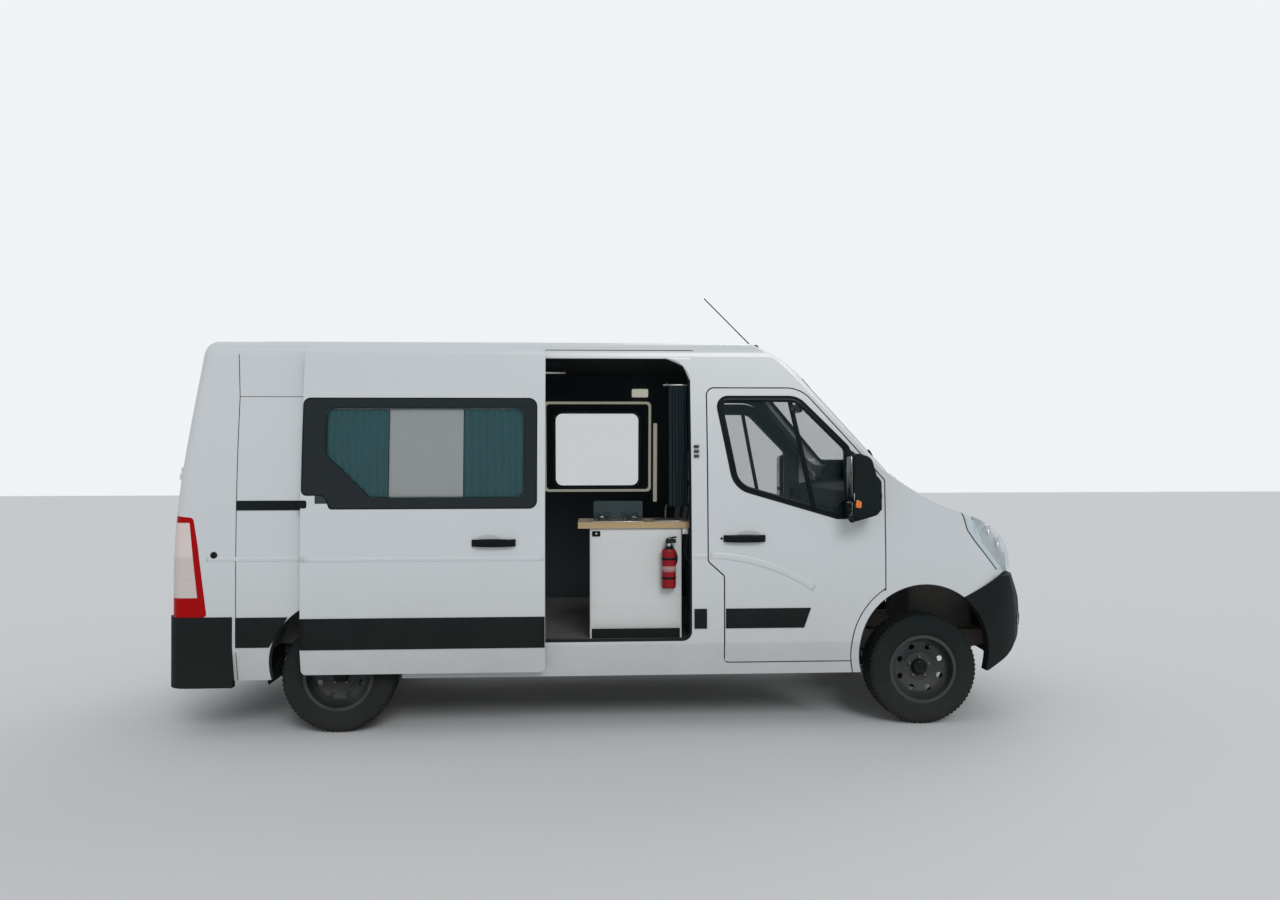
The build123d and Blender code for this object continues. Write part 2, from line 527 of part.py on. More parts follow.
for x0, x1, z0, z1 in ((-1790, -1700, RAIL_LOW + 8, RAIL_HIGH - 8), (-640, -560, 440, 470),
                       (-640, -560, SLIDE_DOOR_TOP - 55, SLIDE_DOOR_TOP - 25)):
    arm = block(x0, x1, -SIDE - 60, -SIDE + 120, z0, z1)
    body_skin = arm_inner if z0 == RAIL_LOW + 8 else prism(section_rows(-0.3), "x", -2200, 600)
    arm = (arm & arm_space) - body_skin
    slide = slide + arm
keep("sliding_door", slide)

# Nose: bonnet, wings, lamps, grille and bumper
BONNET_REAR = 1925.0
BONNET_FRONT_HEIGHT = 1060.0
bonnet_plan = [(1600, -800, 0), (2330, -745, 600), (HALF + 40, -560, 0), (HALF + 40, 560, 0),
               (2330, 745, 600), (1600, 800, 0)]
cowl_drum = Solid.make_cylinder(BONNET_REAR - NOSE_AXIS, 3000, Plane((NOSE_AXIS, 0, 0)))
cowl_drum_small = Solid.make_cylinder(BONNET_REAR - NOSE_AXIS - SHUT_GAP, 3000, Plane((NOSE_AXIS, 0, 0)))
bonnet = SHELL & prism(bonnet_plan, "z", BONNET_FRONT_HEIGHT, 1640)
bonnet = bonnet - cowl_drum
keep("bonnet", single(bonnet))
keep("cowl", single(SHELL & cowl_view & cowl_drum_small))
centre_space = prism(inset_rows(bonnet_plan, -SHUT_GAP), "z", 200, 1700)
wing_rows = [(FRONT_DOOR_FRONT + SHUT_GAP, 800, 0), (2170, 803, 0), (2505, 959, 0), (HALF + 50, 959, 0),
             (HALF + 50, WING_TOP, 0), (FRONT_DOOR_FRONT + SHUT_GAP, WING_TOP, 0)]
lip_rows = [(FRONT_AXLE - 600, 200, 0), (FRONT_DOOR_FRONT + SHUT_GAP, 200, 0),
            (FRONT_DOOR_FRONT + SHUT_GAP, 820, 0), (FRONT_AXLE - 600, 820, 0)]
wing = LEFT_SHELL & prism(wing_rows, "y", 0, SIDE + 90)
lip = (LEFT_SHELL & arch_lip) & block(FRONT_AXLE - 600, FRONT_DOOR_FRONT + SHUT_GAP, 0, SIDE + 90, 200, 860)
lamp_front = [(2225, 1356, 25), (2258, 1203, 60), (2390, 1050, 100), (2502, 953, 0), (HALF + 50, 985, 0),
              (HALF + 50, 1190, 0), (2500, 1232, 60)]
wing = wing + lip
wing = wing - centre_space - arch_front - prism(lamp_front, "y", 0, SIDE + 90)
wing = wing - (cowl_clear & cowl_drum)
keep_pair("wing", single(wing))
lamp = LEFT_SHELL & prism(inset_rows(lamp_front, PANEL_GAP), "y", 0, SIDE + 90)
keep_pair("headlamp", single(lamp - centre_space))
GRILLE_LOW = 935.0
GRILLE_HIGH = BONNET_FRONT_HEIGHT - SEAT_GAP
grille = single(SHELL & prism(inset_rows(bonnet_plan, -SHUT_GAP + PANEL_GAP), "z", GRILLE_LOW, GRILLE_HIGH)
                & block(2300, HALF + 50, -SIDE, SIDE, 200, 1700))
SLOT_PITCH = 30.0
SLOTS = 3
for index in range(SLOTS):
    z = GRILLE_LOW + 22 + SLOT_PITCH * index
    grille = grille - block(2300, HALF + 50, -480, -15, z, z + 16) - block(2300, HALF + 50, 15, 480, z, z + 16)
keep("grille", single(grille))
front_rows = [(FRONT_AXLE + 100, 200, 0), (HALF + 50, 200, 0), (HALF + 50, GRILLE_LOW - 1, 0),
              (2480, GRILLE_LOW - 1, 0), (2452, 933.7, 0), (2170, 802.4, 0), (FRONT_AXLE + 100, 802.4, 0)]
# The bumper's corners stand fuller than the wings and are drawn in below, (out, z, radius)
CORNER_BULGE = 46.0
CORNER_TUCK = 118.0
CORNER_SLANT = Vector(283, 536, 0).normalized()
CORNER_OUT = Vector(CORNER_SLANT.Y, -CORNER_SLANT.X, 0)
corner_point = Vector(HALF - 315, -SIDE + 37, 0)
corner_rows = [(-2500, 150, 0), (-CORNER_TUCK - 240, 150, 0), (-CORNER_TUCK, 325, 0),
               (CORNER_BULGE - 8, 437, 150), (CORNER_BULGE, 650, 400), (CORNER_BULGE - 10, 800, 300),
               (10, 965, 0), (10, 1100, 0), (-2500, 1100, 0)]
corner_form = prism(corner_rows, "z", -3000, 3000).moved(
    Plane(corner_point, x_dir=CORNER_OUT, z_dir=CORNER_SLANT * -1).location)
full_out = CORNER_BULGE + 4
full_start = corner_point + Vector(1159, 65, 0).normalized() * (full_out / 0.8565)
full_end = corner_point + CORNER_OUT * full_out + CORNER_SLANT * 500
full_nose = [(1300, -SIDE - 28, 0), (full_start.X, full_start.Y, 500), (full_end.X, full_end.Y, 350),
             (HALF + 26, -220, 0)]
full_plan = [(1200, -SIDE - 28, 0)] + full_nose + [(x, -y, r) for x, y, r in reversed(full_nose)]
full_plan = full_plan + [(1200, SIDE + 28, 0)]
front = prism(section_rows(0), "x", 1700, HALF + 100)
front = front & Solid.revolve(Face(outline(nose_rows(0), "y", 0)), 360, Axis((NOSE_AXIS, 0, 0), (0, 0, 1)))
front = front & prism(full_plan, "z", 0, 1500)
front = front & corner_form & mirror_y(corner_form)
front = front - INNER
front = front & prism(front_rows, "y", -SIDE - 90, SIDE + 90)
front = front - arch_front
front = single(front)
intake = prism([(-430, 560, 25), (430, 560, 25), (470, 690, 25), (-470, 690, 25)], "x", 2300, HALF + 50)
keep("front_bumper", single(front - intake))

# Mirrors stand on the front doors, behind the hinge line
mirror_rows = [(1412, 1300, 30), (1585, 1350, 45), (1602, 1470, 60), (1535, 1700, 50), (1420, 1742, 40)]
MIRROR_TIP = SIDE + 200
MIRROR_ROOT = SIDE + 35
housing = prism(mirror_rows, "y", MIRROR_ROOT, MIRROR_TIP)
arm = block(1440, 1560, SIDE - 60, SIDE + 40, 1375, 1430)
arm = arm - prism(section_rows(-0.3), "x", 1300, 1700)
keep_pair("mirror", single(housing + arm))

# Floor, firewall and wheelhouses
FLOOR_LOW = FLOOR_TOP - FLOOR_THICKNESS
FLOOR_SIDE = SIDE - WALL + 5
FIREWALL = 1432.0
FLOOR_REAR = REAR_FACE + REAR_DOOR_THICKNESS + SHUT_GAP
HOUSE_WALL = 12.0
HOUSE_RADIUS = ARCH_RADIUS_REAR + 42
WHEELHOUSE_SPAN = REAR_TRACK - TYRE_WIDTH - 2 * WHEELHOUSE_GAP
floor = block(FLOOR_REAR, FIREWALL, -FLOOR_SIDE, FLOOR_SIDE, FLOOR_LOW, FLOOR_TOP)
for side_sign in (1, -1):
    y0, y1 = sorted((side_sign * WHEELHOUSE_SPAN / 2, side_sign * FLOOR_SIDE))
    drum = rod(HOUSE_RADIUS, "y", REAR_AXLE, ARCH_CENTRE_REAR, y0, y1)
    floor = floor + (drum & block(REAR_AXLE - 600, REAR_AXLE + 600, y0, y1, FLOOR_LOW, 1200))
for side_sign in (1, -1):
    y0, y1 = sorted((side_sign * (WHEELHOUSE_SPAN / 2 + HOUSE_WALL), side_sign * (FLOOR_SIDE + 20)))
    floor = floor - rod(HOUSE_RADIUS - HOUSE_WALL, "y", REAR_AXLE, ARCH_CENTRE_REAR, y0, y1)
firewall = block(FIREWALL - 14, FIREWALL, -FLOOR_SIDE, FLOOR_SIDE, FLOOR_LOW, 1180)
floor = floor + firewall
fit = body_solid(WALL + SEAT_GAP, REAR_DOOR_THICKNESS + SHUT_GAP, 200)
keep("floor_pan", single(floor & fit))

# Chassis below the floor
RAIL_Y = 430.0
RAIL_WIDTH = 64.0
RAIL_LOW_Z = 392.0
BEAM_REAR = -HALF + 114.0
BEAM_FRONT = HALF - 164.0
chassis = None
for side_sign in (1, -1):
    y = side_sign * RAIL_Y
    beam = prism([(BEAM_REAR, RAIL_LOW_Z + 40, 0), (BEAM_REAR + 360, RAIL_LOW_Z, 0),
                  (BEAM_FRONT - 160, RAIL_LOW_Z, 0), (BEAM_FRONT, RAIL_LOW_Z + 40, 0),
                  (BEAM_FRONT, FLOOR_LOW, 0), (BEAM_REAR, FLOOR_LOW, 0)],
                 "y", y - RAIL_WIDTH / 2, y + RAIL_WIDTH / 2)
    chassis = beam if chassis is None else chassis + beam
for x in (BEAM_REAR + 160, -1150, -400, 500, 1300, BEAM_FRONT - 310, BEAM_FRONT - 50):
    chassis = chassis + block(x - 35, x + 35, -RAIL_Y, RAIL_Y, RAIL_LOW_Z + 45, FLOOR_LOW)
keep("chassis_frame", single(chassis))

# Engine, front crossmember and steering knuckles
KINGPIN_Y = FRONT_TRACK / 2 - STEER_OFFSET
engine = block(2060, 2540, -270, 270, FLOOR_LOW, 1060)
keep("engine_block", engine.fillet(40, engine.edges().filter_by(Axis.Z)))
AXLE_HEIGHT = TYRE_RADIUS
PIN_RADIUS = 26.0
KNUCKLE_HALF = 112.0
cross = block(FRONT_AXLE - 90, FRONT_AXLE + 90, -RAIL_Y - 60, RAIL_Y + 60, 205, 262)
for side_sign in (1, -1):
    y_in, y_out = side_sign * (RAIL_Y + 40), side_sign * KINGPIN_Y
    y0, y1 = sorted((y_in, y_out))
    low = AXLE_HEIGHT - KNUCKLE_HALF - 6
    high = AXLE_HEIGHT + KNUCKLE_HALF + 6
    for z0, z1 in ((low - 26, low), (high, high + 26)):
        cross = cross + block(FRONT_AXLE - 30, FRONT_AXLE + 30, y0, y1, z0, z1)
        cross = cross + rod(34, "z", FRONT_AXLE, y_out, z0, z1)
    p0, p1 = sorted((side_sign * (RAIL_Y + 32), side_sign * (RAIL_Y + 100)))
    cross = cross + block(FRONT_AXLE - 34, FRONT_AXLE + 34, p0, p1, 205, high + 26)
    cross = cross - rod(14.3, "z", FRONT_AXLE, y_out, 150, 600)
keep("front_subframe", single(cross))
HUB_INNER = FRONT_TRACK / 2 - 4
STUB_RADIUS = 29.7
pin_low = AXLE_HEIGHT - KNUCKLE_HALF - 30
pin_high = AXLE_HEIGHT + KNUCKLE_HALF + 30
knuckle = rod(PIN_RADIUS + 6, "z", FRONT_AXLE, KINGPIN_Y, AXLE_HEIGHT - KNUCKLE_HALF, AXLE_HEIGHT + KNUCKLE_HALF)
knuckle = knuckle + rod(14, "z", FRONT_AXLE, KINGPIN_Y, pin_low, pin_high)
knuckle = knuckle + rod(STUB_RADIUS, "y", FRONT_AXLE, AXLE_HEIGHT, KINGPIN_Y, FRONT_TRACK / 2 + 12)
knuckle = knuckle + rod(70, "y", FRONT_AXLE, AXLE_HEIGHT, KINGPIN_Y + 20, FRONT_TRACK / 2 - 6)
keep_pair("knuckle", single(knuckle))

# Rear axle on leaf springs
SPRING_Y = 560.0
axle = rod(42, "y", REAR_AXLE, AXLE_HEIGHT, -REAR_TRACK / 2 + 20, REAR_TRACK / 2 - 20)
axle = axle + rod(70, "y", REAR_AXLE, AXLE_HEIGHT, -REAR_TRACK / 2 + 6, -REAR_TRACK / 2 + 70)
axle = axle + rod(70, "y", REAR_AXLE, AXLE_HEIGHT, REAR_TRACK / 2 - 70, REAR_TRACK / 2 - 6)
axle = axle + rod(STUB_RADIUS, "y", REAR_AXLE, AXLE_HEIGHT, -REAR_TRACK / 2 - 12, REAR_TRACK / 2 + 12)
for side_sign in (1, -1):
    y = side_sign * SPRING_Y
    leaf = [(REAR_AXLE - 700, 470, 0), (REAR_AXLE - 700, 452, 0), (REAR_AXLE, 296, 2600),
            (REAR_AXLE + 700, 452, 0), (REAR_AXLE + 700, 470, 0), (REAR_AXLE, 318, 2600)]
    spring = prism(leaf, "y", y - 35, y + 35)
    axle = axle + spring
    axle = axle + block(REAR_AXLE - 60, REAR_AXLE + 60, y - 45, y + 45, 300, 395)
    for x in (REAR_AXLE - 700, REAR_AXLE + 700):
        axle = axle + rod(30, "y", x, 462, y - 35, y + 35)
        axle = axle + block(x - 25, x + 25, y - 45, y + 45, 462, FLOOR_LOW)
keep("rear_axle", single(axle))


def wheel(x, y, outward):
    """Tyre and rim of one wheel; outward is 1 on the left side and -1 on the right."""
    bead = 95.0
    tread = [(-bead + 0.3, 203.4, 0), (bead - 0.3, 203.4, 0), (bead - 0.3, 219, 0), (TYRE_WIDTH / 2, 268, 30),
             (106, TYRE_RADIUS, 26), (-106, TYRE_RADIUS, 26), (-TYRE_WIDTH / 2, 268, 30), (-bead + 0.3, 219, 0)]
    tyre = wheel_turned(tread, x, y, AXLE_HEIGHT)
    barrel = [(-101, 196, 0), (101, 196, 0), (101, 218, 3), (bead, 218, 0), (bead, 203, 0), (-bead, 203, 0),
              (-bead, 218, 0), (-101, 218, 3)]
    rim = wheel_turned(barrel, x, y, AXLE_HEIGHT)
    disc = [(0, 30, 0), (14, 30, 0), (14, 92, 12), (40, 150, 30), (30, 196.5, 0), (20, 196.5, 0), (28, 152, 20),
            (0, 96, 12)]
    rim = rim + wheel_turned(disc, x, y, AXLE_HEIGHT)
    for index in range(8):
        angle = 2 * pi * (index + 0.5) / 8
        rim = rim - rod(19, "y", x + 140 * cos(angle), AXLE_HEIGHT + 140 * sin(angle), y - 10, y + 60)
    cap = [(14, 0, 0), (46, 0, 0), (46, 40, 14), (14, 46, 0)]
    rim = rim + wheel_turned(cap, x, y, AXLE_HEIGHT)
    if outward < 0:
        flip = Plane((0, y, 0), z_dir=(0, 1, 0))
        tyre = mirror(tyre, about=flip)
        rim = mirror(rim, about=flip)
    return single(tyre), single(rim)


for label, x, track in (("front", FRONT_AXLE, FRONT_TRACK), ("rear", REAR_AXLE, REAR_TRACK)):
    for word, sign in (("left", 1), ("right", -1)):
        tyre, rim = wheel(x, sign * track / 2, sign)
        keep("tyre_" + label + "_" + word, tyre)
        keep("rim_" + label + "_" + word, rim)

# Tank and exhaust
tank = block(-350, 700, 480, 900, 260, FLOOR_LOW)
keep("fuel_tank", tank.fillet(45, tank.edges().filter_by(Axis.X)))
MUFFLER_Y = -700.0
MUFFLER_Z = FLOOR_LOW - 110
muffler = rod(95, "x", MUFFLER_Y, MUFFLER_Z, -900, -300)
pipe = rod(28, "x", MUFFLER_Y, MUFFLER_Z, -310, 1300)
hanger = block(-640, -560, MUFFLER_Y - 20, MUFFLER_Y + 20, MUFFLER_Z, FLOOR_LOW)
keep("exhaust", single(muffler + pipe + hanger))

# Cab: dashboard, steering wheel and seats
CABIN = body_solid(WALL + 12, REAR_DOOR_THICKNESS + 12, 200)
dash_rows = [(FIREWALL + 0.5, 860, 0), (1700, 860, 0), (1700, 1300, 0), (1860, 1560, 0), (1600, 1500, 60),
             (1500, 1480, 60), (1400, 1400, 60), (1350, 1130, 60), (FIREWALL + 0.5, 1040, 0)]
dash = prism(dash_rows, "y", -930, 930) & CABIN
dash = dash - block(1300, FIREWALL + 0.5, -1000, 1000, 500, 1180.5)
keep("dashboard", single(dash))
column = Plane((1180, 420, 1235), z_dir=Vector(-0.86, 0, 0.51))
hub_plane = Plane(column.origin - column.z_dir * 25, z_dir=column.z_dir)
steer = Solid.make_torus(185, 15, column) + Solid.make_cylinder(52, 30, hub_plane)
spoke = Box(28, 370, 14)
steer = steer + spoke.moved(column.location).moved(Location(column.z_dir * -8))
shaft = Solid.make_cylinder(22, 310, Plane(column.origin - column.z_dir * 20, z_dir=-column.z_dir))
keep("steering_wheel", single((steer + shaft) - dash - floor))


def seat(y0, y1, rests):
    """A cab seat as one closed form: box base, cushion, back and headrests."""
    base = prism([(560, FLOOR_TOP, 0), (960, FLOOR_TOP, 0), (940, 880, 0), (560, 880, 0)], "y", y0 + 30, y1 - 30)
    cushion = prism([(520, 880, 20), (1010, 880, 40), (1040, 965, 35), (1010, 1010, 20), (520, 985, 20)],
                    "y", y0, y1)
    back = prism([(500, 900, 20), (640, 960, 20), (560, 1590, 50), (455, 1590, 50), (440, 1400, 300)],
                 "y", y0 + 10, y1 - 10)
    form = base + cushion + back
    for y in rests:
        form = form + block(480, 530, y - 110, y + 110, 1580, 1770)
    return single(form)


keep("driver_seat", seat(170, 680, (425,)))
keep("passenger_seat", seat(-700, 60, (-510, -130)))

# Camper fittings
CABINET_OUT = -930.0
CABINET_IN = -520.0
cabinet = block(-190, 390, CABINET_OUT, CABINET_IN, FLOOR_TOP, 1256)
keep("kitchen_cabinet", cabinet)
keep("worktop", block(-265, 446, CABINET_OUT - 20, CABINET_IN, 1256, 1295))
EXT_X = 306.0
EXT_Y = CABINET_OUT - 47
bottle = Solid.make_cylinder(45, 245, Plane((EXT_X, EXT_Y, 890)))
bottle = bottle.fillet(25, [bottle.edges().sort_by(Axis.Z)[-1]])
bottle = bottle + Solid.make_cylinder(16, 40, Plane((EXT_X, EXT_Y, 1130)))
bottle = bottle + block(EXT_X - 20, EXT_X + 45, EXT_Y - 12, EXT_Y + 12, 1165, 1190)
bottle = bottle + block(EXT_X - 40, EXT_X + 40, EXT_Y, CABINET_OUT, 878, 890)
keep("fire_extinguisher", single(bottle))
bed = block(-2300, -900, -680, 680, FLOOR_TOP, 900)
keep("bed_locker", bed)
keep("mattress", block(-2300, -900, -680, 680, 900, 1000))

# Door curtains hang in the sliding door's window recess
CURTAIN_REAR = CLEAR_REAR + 7.0
CURTAIN_FRONT = CLEAR_FRONT - 7.0
BLIND_REAR = -1425.0
BLIND_FRONT = -965.0
CURTAIN_SPACE = 5.0
recess = slab(GLASS + 5, SLIDE_DOOR_WALL - 2, CURTAIN_REAR, CURTAIN_FRONT)
recess = recess & prism(inset_rows(clear_rows, PANEL_GAP), "y", -SIDE - 90, 0)
for name, x0, x1 in (("curtain_rear", CURTAIN_REAR, BLIND_REAR - CURTAIN_SPACE),
                     ("curtain_front", BLIND_FRONT + CURTAIN_SPACE, CURTAIN_FRONT),
                     ("blind", BLIND_REAR, BLIND_FRONT)):
    keep(name, single(recess & block(x0, x1, -SIDE - 90, 0, 1400, 2100)).moved(OUTWARD))

# Rod aerial on the roof
AERIAL_X = 1040.0
AERIAL_RAKE = radians(45)
foot = rod(22, "z", AERIAL_X, 0, HEIGHT - 90, HEIGHT - 22) - OUTER
mast_way = Vector(-sin(AERIAL_RAKE), 0, cos(AERIAL_RAKE))
mast = Solid.make_cylinder(4, 560, Plane((AERIAL_X + 4, 0, HEIGHT - 30), z_dir=mast_way))
keep("aerial", single(foot + (mast - OUTER)))

for name, shape in PIECES.items():
    export_step(shape, "parts/" + name + ".step")
print(len(PIECES))
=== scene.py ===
"""Camper van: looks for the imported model. Metres; X forward, Y to the van's left, Z up."""
import json
import math

import bpy
import numpy as np
from mathutils import Matrix


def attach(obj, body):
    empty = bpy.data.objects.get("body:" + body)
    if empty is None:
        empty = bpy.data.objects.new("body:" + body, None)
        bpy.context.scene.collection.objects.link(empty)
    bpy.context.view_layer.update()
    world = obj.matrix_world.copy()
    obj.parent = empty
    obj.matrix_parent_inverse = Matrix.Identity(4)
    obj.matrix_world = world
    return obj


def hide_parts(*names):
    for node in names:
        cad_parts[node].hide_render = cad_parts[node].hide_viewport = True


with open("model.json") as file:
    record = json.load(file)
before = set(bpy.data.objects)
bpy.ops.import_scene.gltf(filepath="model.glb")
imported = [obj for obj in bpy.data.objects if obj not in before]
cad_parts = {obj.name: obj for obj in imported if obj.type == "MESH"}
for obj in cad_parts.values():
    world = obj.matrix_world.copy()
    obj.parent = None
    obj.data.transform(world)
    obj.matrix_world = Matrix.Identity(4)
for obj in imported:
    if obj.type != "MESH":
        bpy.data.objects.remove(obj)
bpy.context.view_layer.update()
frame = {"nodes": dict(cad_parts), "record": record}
NODES = frame["nodes"]
SIDES = (("left", 1.0), ("right", -1.0))


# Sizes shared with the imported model
HALF = 2.774
SIDE = 1.035
HEIGHT = 2.499
FRONT_AXLE = 1.932
REAR_AXLE = -1.75
HUB = 0.3495
TRACK = {"front": 1.75, "rear": 1.73}
AXLE = {"front": FRONT_AXLE, "rear": REAR_AXLE}
ARCH = {"front": (FRONT_AXLE, 0.47, 0.424), "rear": (REAR_AXLE, 0.43, 0.403)}
BELT = 1.085
SHOULDER = 1.69
EAVES_Y = 0.912
EAVES_Z = 2.43
ROOF = 0.106
REAR_FACE = -2.745
REAR_TURN = 1.29
REAR_BUMPER = -2.7735
CREASE = 1.086
WINDOW_TOP = 2.084
DOOR_EDGE = -2.349
DOOR_OUT = 0.072
DRIVER = 0.42


# Shader helpers

class Link:
    """One value in a material; arithmetic on it adds the Math node that does it."""

    def __init__(self, finish, socket):
        self.finish = finish
        self.socket = socket

    def maths(self, operation, *values):
        return self.finish.node("ShaderNodeMath", {"operation": operation}, dict(enumerate(values)))

    def __add__(self, other):
        return self.maths("ADD", self, other)

    def __sub__(self, other):
        return self.maths("SUBTRACT", self, other)

    def __rsub__(self, other):
        return self.maths("SUBTRACT", other, self)

    def __mul__(self, other):
        return self.maths("MULTIPLY", self, other)

    def __pow__(self, other):
        return self.maths("POWER", self, other)

    def sine(self):
        return self.maths("SINE", self)

    def at_least(self, other):
        return self.maths("MAXIMUM", self, other)

    def at_most(self, other):
        return self.maths("MINIMUM", self, other)

    def above(self, edge, soft):
        """0 below the edge, 1 above it, with a soft step of the given width."""
        return self.finish.node("ShaderNodeMapRange", {"interpolation_type": "SMOOTHSTEP", "clamp": True},
            {"Value": self, "From Min": edge - soft / 2, "From Max": edge + soft / 2})

    def below(self, edge, soft):
        """1 below the edge, 0 above it, with a soft step of the given width."""
        return 1.0 - self.above(edge, soft)


class Finish:
    """A material under construction: its shader's constants and the nodes that vary it."""

    def __init__(self, name, **constants):
        self.material = bpy.data.materials.new(name)
        self.material.use_nodes = True
        self.tree = self.material.node_tree
        self.shader = self.tree.nodes["Principled BSDF"]
        self.place = None
        for socket, value in constants.items():
            self.feed(socket.replace("_", " ").title().replace("Ior", "IOR"), value)

    def node(self, kind, settings=None, inputs=None, output=0):
        made = self.tree.nodes.new(kind)
        for key, value in (settings or {}).items():
            setattr(made, key, value)
        for key, value in (inputs or {}).items():
            if isinstance(value, Link):
                self.tree.links.new(value.socket, made.inputs[key])
            else:
                made.inputs[key].default_value = value
        return Link(self, made.outputs[output])

    def feed(self, socket, value):
        target = self.shader.inputs[socket]
        if isinstance(value, Link):
            self.tree.links.new(value.socket, target)
        elif isinstance(value, tuple) and len(value) == 3 and (socket != "Normal"):
            target.default_value = value + (1.0,)
        else:
            target.default_value = value

    def where(self):
        """The point's place on the van, in metres."""
        if self.place is None:
            self.place = self.node("ShaderNodeTexCoord", output=3)
        return self.place

    def axes(self):
        split = self.tree.nodes.new("ShaderNodeSeparateXYZ")
        self.tree.links.new(self.where().socket, split.inputs[0])
        return tuple(Link(self, output) for output in split.outputs)

    def noise(self, scale, detail=3.0, roughness=0.5, stretch=(1, 1, 1)):
        """Soft cloudy noise from 0 to 1, stretched along the axes."""
        vector = self.node("ShaderNodeMapping", {}, {"Vector": self.where(), "Scale": stretch})
        return self.node("ShaderNodeTexNoise", {}, {"Vector": vector, "Scale": scale, "Detail": detail,
            "Roughness": roughness})

    def mix(self, factor, first, second):
        """Blend two colours."""
        first = first if isinstance(first, Link) else tuple(first) + (1.0,)
        second = second if isinstance(second, Link) else tuple(second) + (1.0,)
        return self.node("ShaderNodeMix", {"data_type": "RGBA"}, {0: factor, 6: first, 7: second}, output=2)

    def bump(self, height, strength, distance):
        self.feed("Normal", self.node("ShaderNodeBump", {}, {"Height": height, "Strength": strength,
            "Distance": distance}))
        return self


def shade(colour, share, more=0.0):
    """A colour made darker or lighter."""
    return tuple(c * share + more for c in colour)


def road_film(finish, top, amount):
    """Mask of road dust: thick at the bottom, gone at height top, broken by noise."""
    x, y, z = finish.axes()
    cloud = finish.noise(3.0, 6.0, 0.6, (1, 1, 1.6))
    speck = finish.noise(40.0, 3.0, 0.6)
    low = (z * (-1.0 / top) + 1.0).at_least(0.0)
    return (low ** 1.5 * (cloud * 1.1 + speck * 0.5) * amount).at_most(0.85)


DUST = (0.23, 0.2, 0.16)
# painted shade: the dark colour put on the body's inner faces, wheel arches and behind the sliding pane for
# the shade inside the body
PAINTED_SHADE_INSIDE = (0.018, 0.026, 0.028)
HEADER = {"foot": (2.605, 1.579), "across": (0.7516, 0.6596), "centre": (1.447, 1.734), "radius": 0.768}


def arch_shade_mask(finish):
    """1 inside the round wheel openings, where painted shade darkens the wheelhouses."""
    x, y, z = finish.axes()
    found = 0.0
    for centre, high, radius in ARCH.values():
        apart = (x - centre) * (x - centre) + (z - high) * (z - high)
        found = apart.below((radius + 0.003) ** 2, 0.002) + found
    wide = y.at_least(y * -1.0)
    return found.at_most(1.0) * wide.above(0.5, 0.01) * wide.below(SIDE + 0.006, 0.002)


def pane_shade_mask(finish):
    """1 behind the sliding door's bonded pane, where painted shade darkens what lies behind the glass."""
    x, y, z = finish.axes()
    box = (x + 1.86).above(0.0, 0.005) * x.below(-0.54, 0.005)
    return box * (z - 1.425).above(0.0, 0.005) * z.below(2.05, 0.005) * y.below(-0.9, 0.005)


def screen_mask(finish, depth):
    """1 where the point lies deeper than depth under the windscreen's cone and the round above it."""
    x, y, z = finish.axes()
    reach = ((x + 0.7) * (x + 0.7) + y * y) ** 0.5
    nx, nz = HEADER["across"]
    ahead = (reach - HEADER["foot"][0]) * nx + (z - HEADER["foot"][1]) * nz
    out, up = reach - HEADER["centre"][0], z - HEADER["centre"][1]
    sector = out.above(0.0, 0.002) * (up * nx - out * nz).above(0.0, 0.002)
    beyond = ((out * out + up * up) ** 0.5).above(HEADER["radius"] - depth, 0.004)
    return (ahead * -1.0).above(depth, 0.004) * (1.0 - sector * beyond)


def inner_shade_mask(finish, depth=0.03):
    """1 on what lies deeper than depth under the body's outer form (inner faces of sides, roof and rear),
    in the wheel arches and behind the sliding pane: where shade is painted.
    """
    x, y, z = finish.axes()
    wide = y.at_least(y * -1.0)
    side = (z - BELT).at_least(0.0) * -0.0347 + SIDE
    side = side - (z - SHOULDER).at_least(0.0) * 0.103
    roof = wide * -ROOF + (HEIGHT + 0.012)
    rear = (z - REAR_TURN).at_least(0.0) * 0.1334 + REAR_FACE
    inside = (side - wide).above(depth, 0.004) * (roof - z).above(depth, 0.004)
    inside = inside * (x - rear).above(depth, 0.004) * x.below(1.55, 0.01)
    inside = inside * z.above(0.52, 0.01) * screen_mask(finish, depth)
    return (inside + arch_shade_mask(finish) + pane_shade_mask(finish)).at_most(1.0)


def paint(name, colour, film=0.55, rough=0.28, shade_inside=False):
    """Gloss coat over a solid colour, with slight unevenness and a film of road dust; where asked, a dark
    painted shade over the inner faces."""
    finish = Finish(name, coat_weight=0.4, coat_roughness=0.16, specular_ior_level=0.4)
    dust = road_film(finish, 1.15, film)
    cloud = finish.noise(0.9, 2.0)
    tone = finish.mix(cloud * 0.5, colour, shade(colour, 0.94))
    tone = finish.mix(dust, tone, DUST)
    gloss = dust * 0.5 + rough
    if shade_inside:
        # painted shade: a dark colour over the inner faces, wheel arches and what lies behind the sliding
        # pane stands for the shade inside the body
        inside = inner_shade_mask(finish)
        painted_shade = finish.mix(finish.noise(400.0, 2.0), PAINTED_SHADE_INSIDE, shade(PAINTED_SHADE_INSIDE, 2.0))
        tone = finish.mix(inside, tone, painted_shade)
        gloss = (gloss + inside * 0.6).at_most(0.95)
        finish.feed("Coat Weight", 0.4 - inside * 0.4)
    finish.feed("Base Color", tone)
    finish.feed("Roughness", gloss)
    ripple = finish.noise(220.0, 2.0)
    finish.bump(ripple, 0.03, 0.0006)
    return finish.material


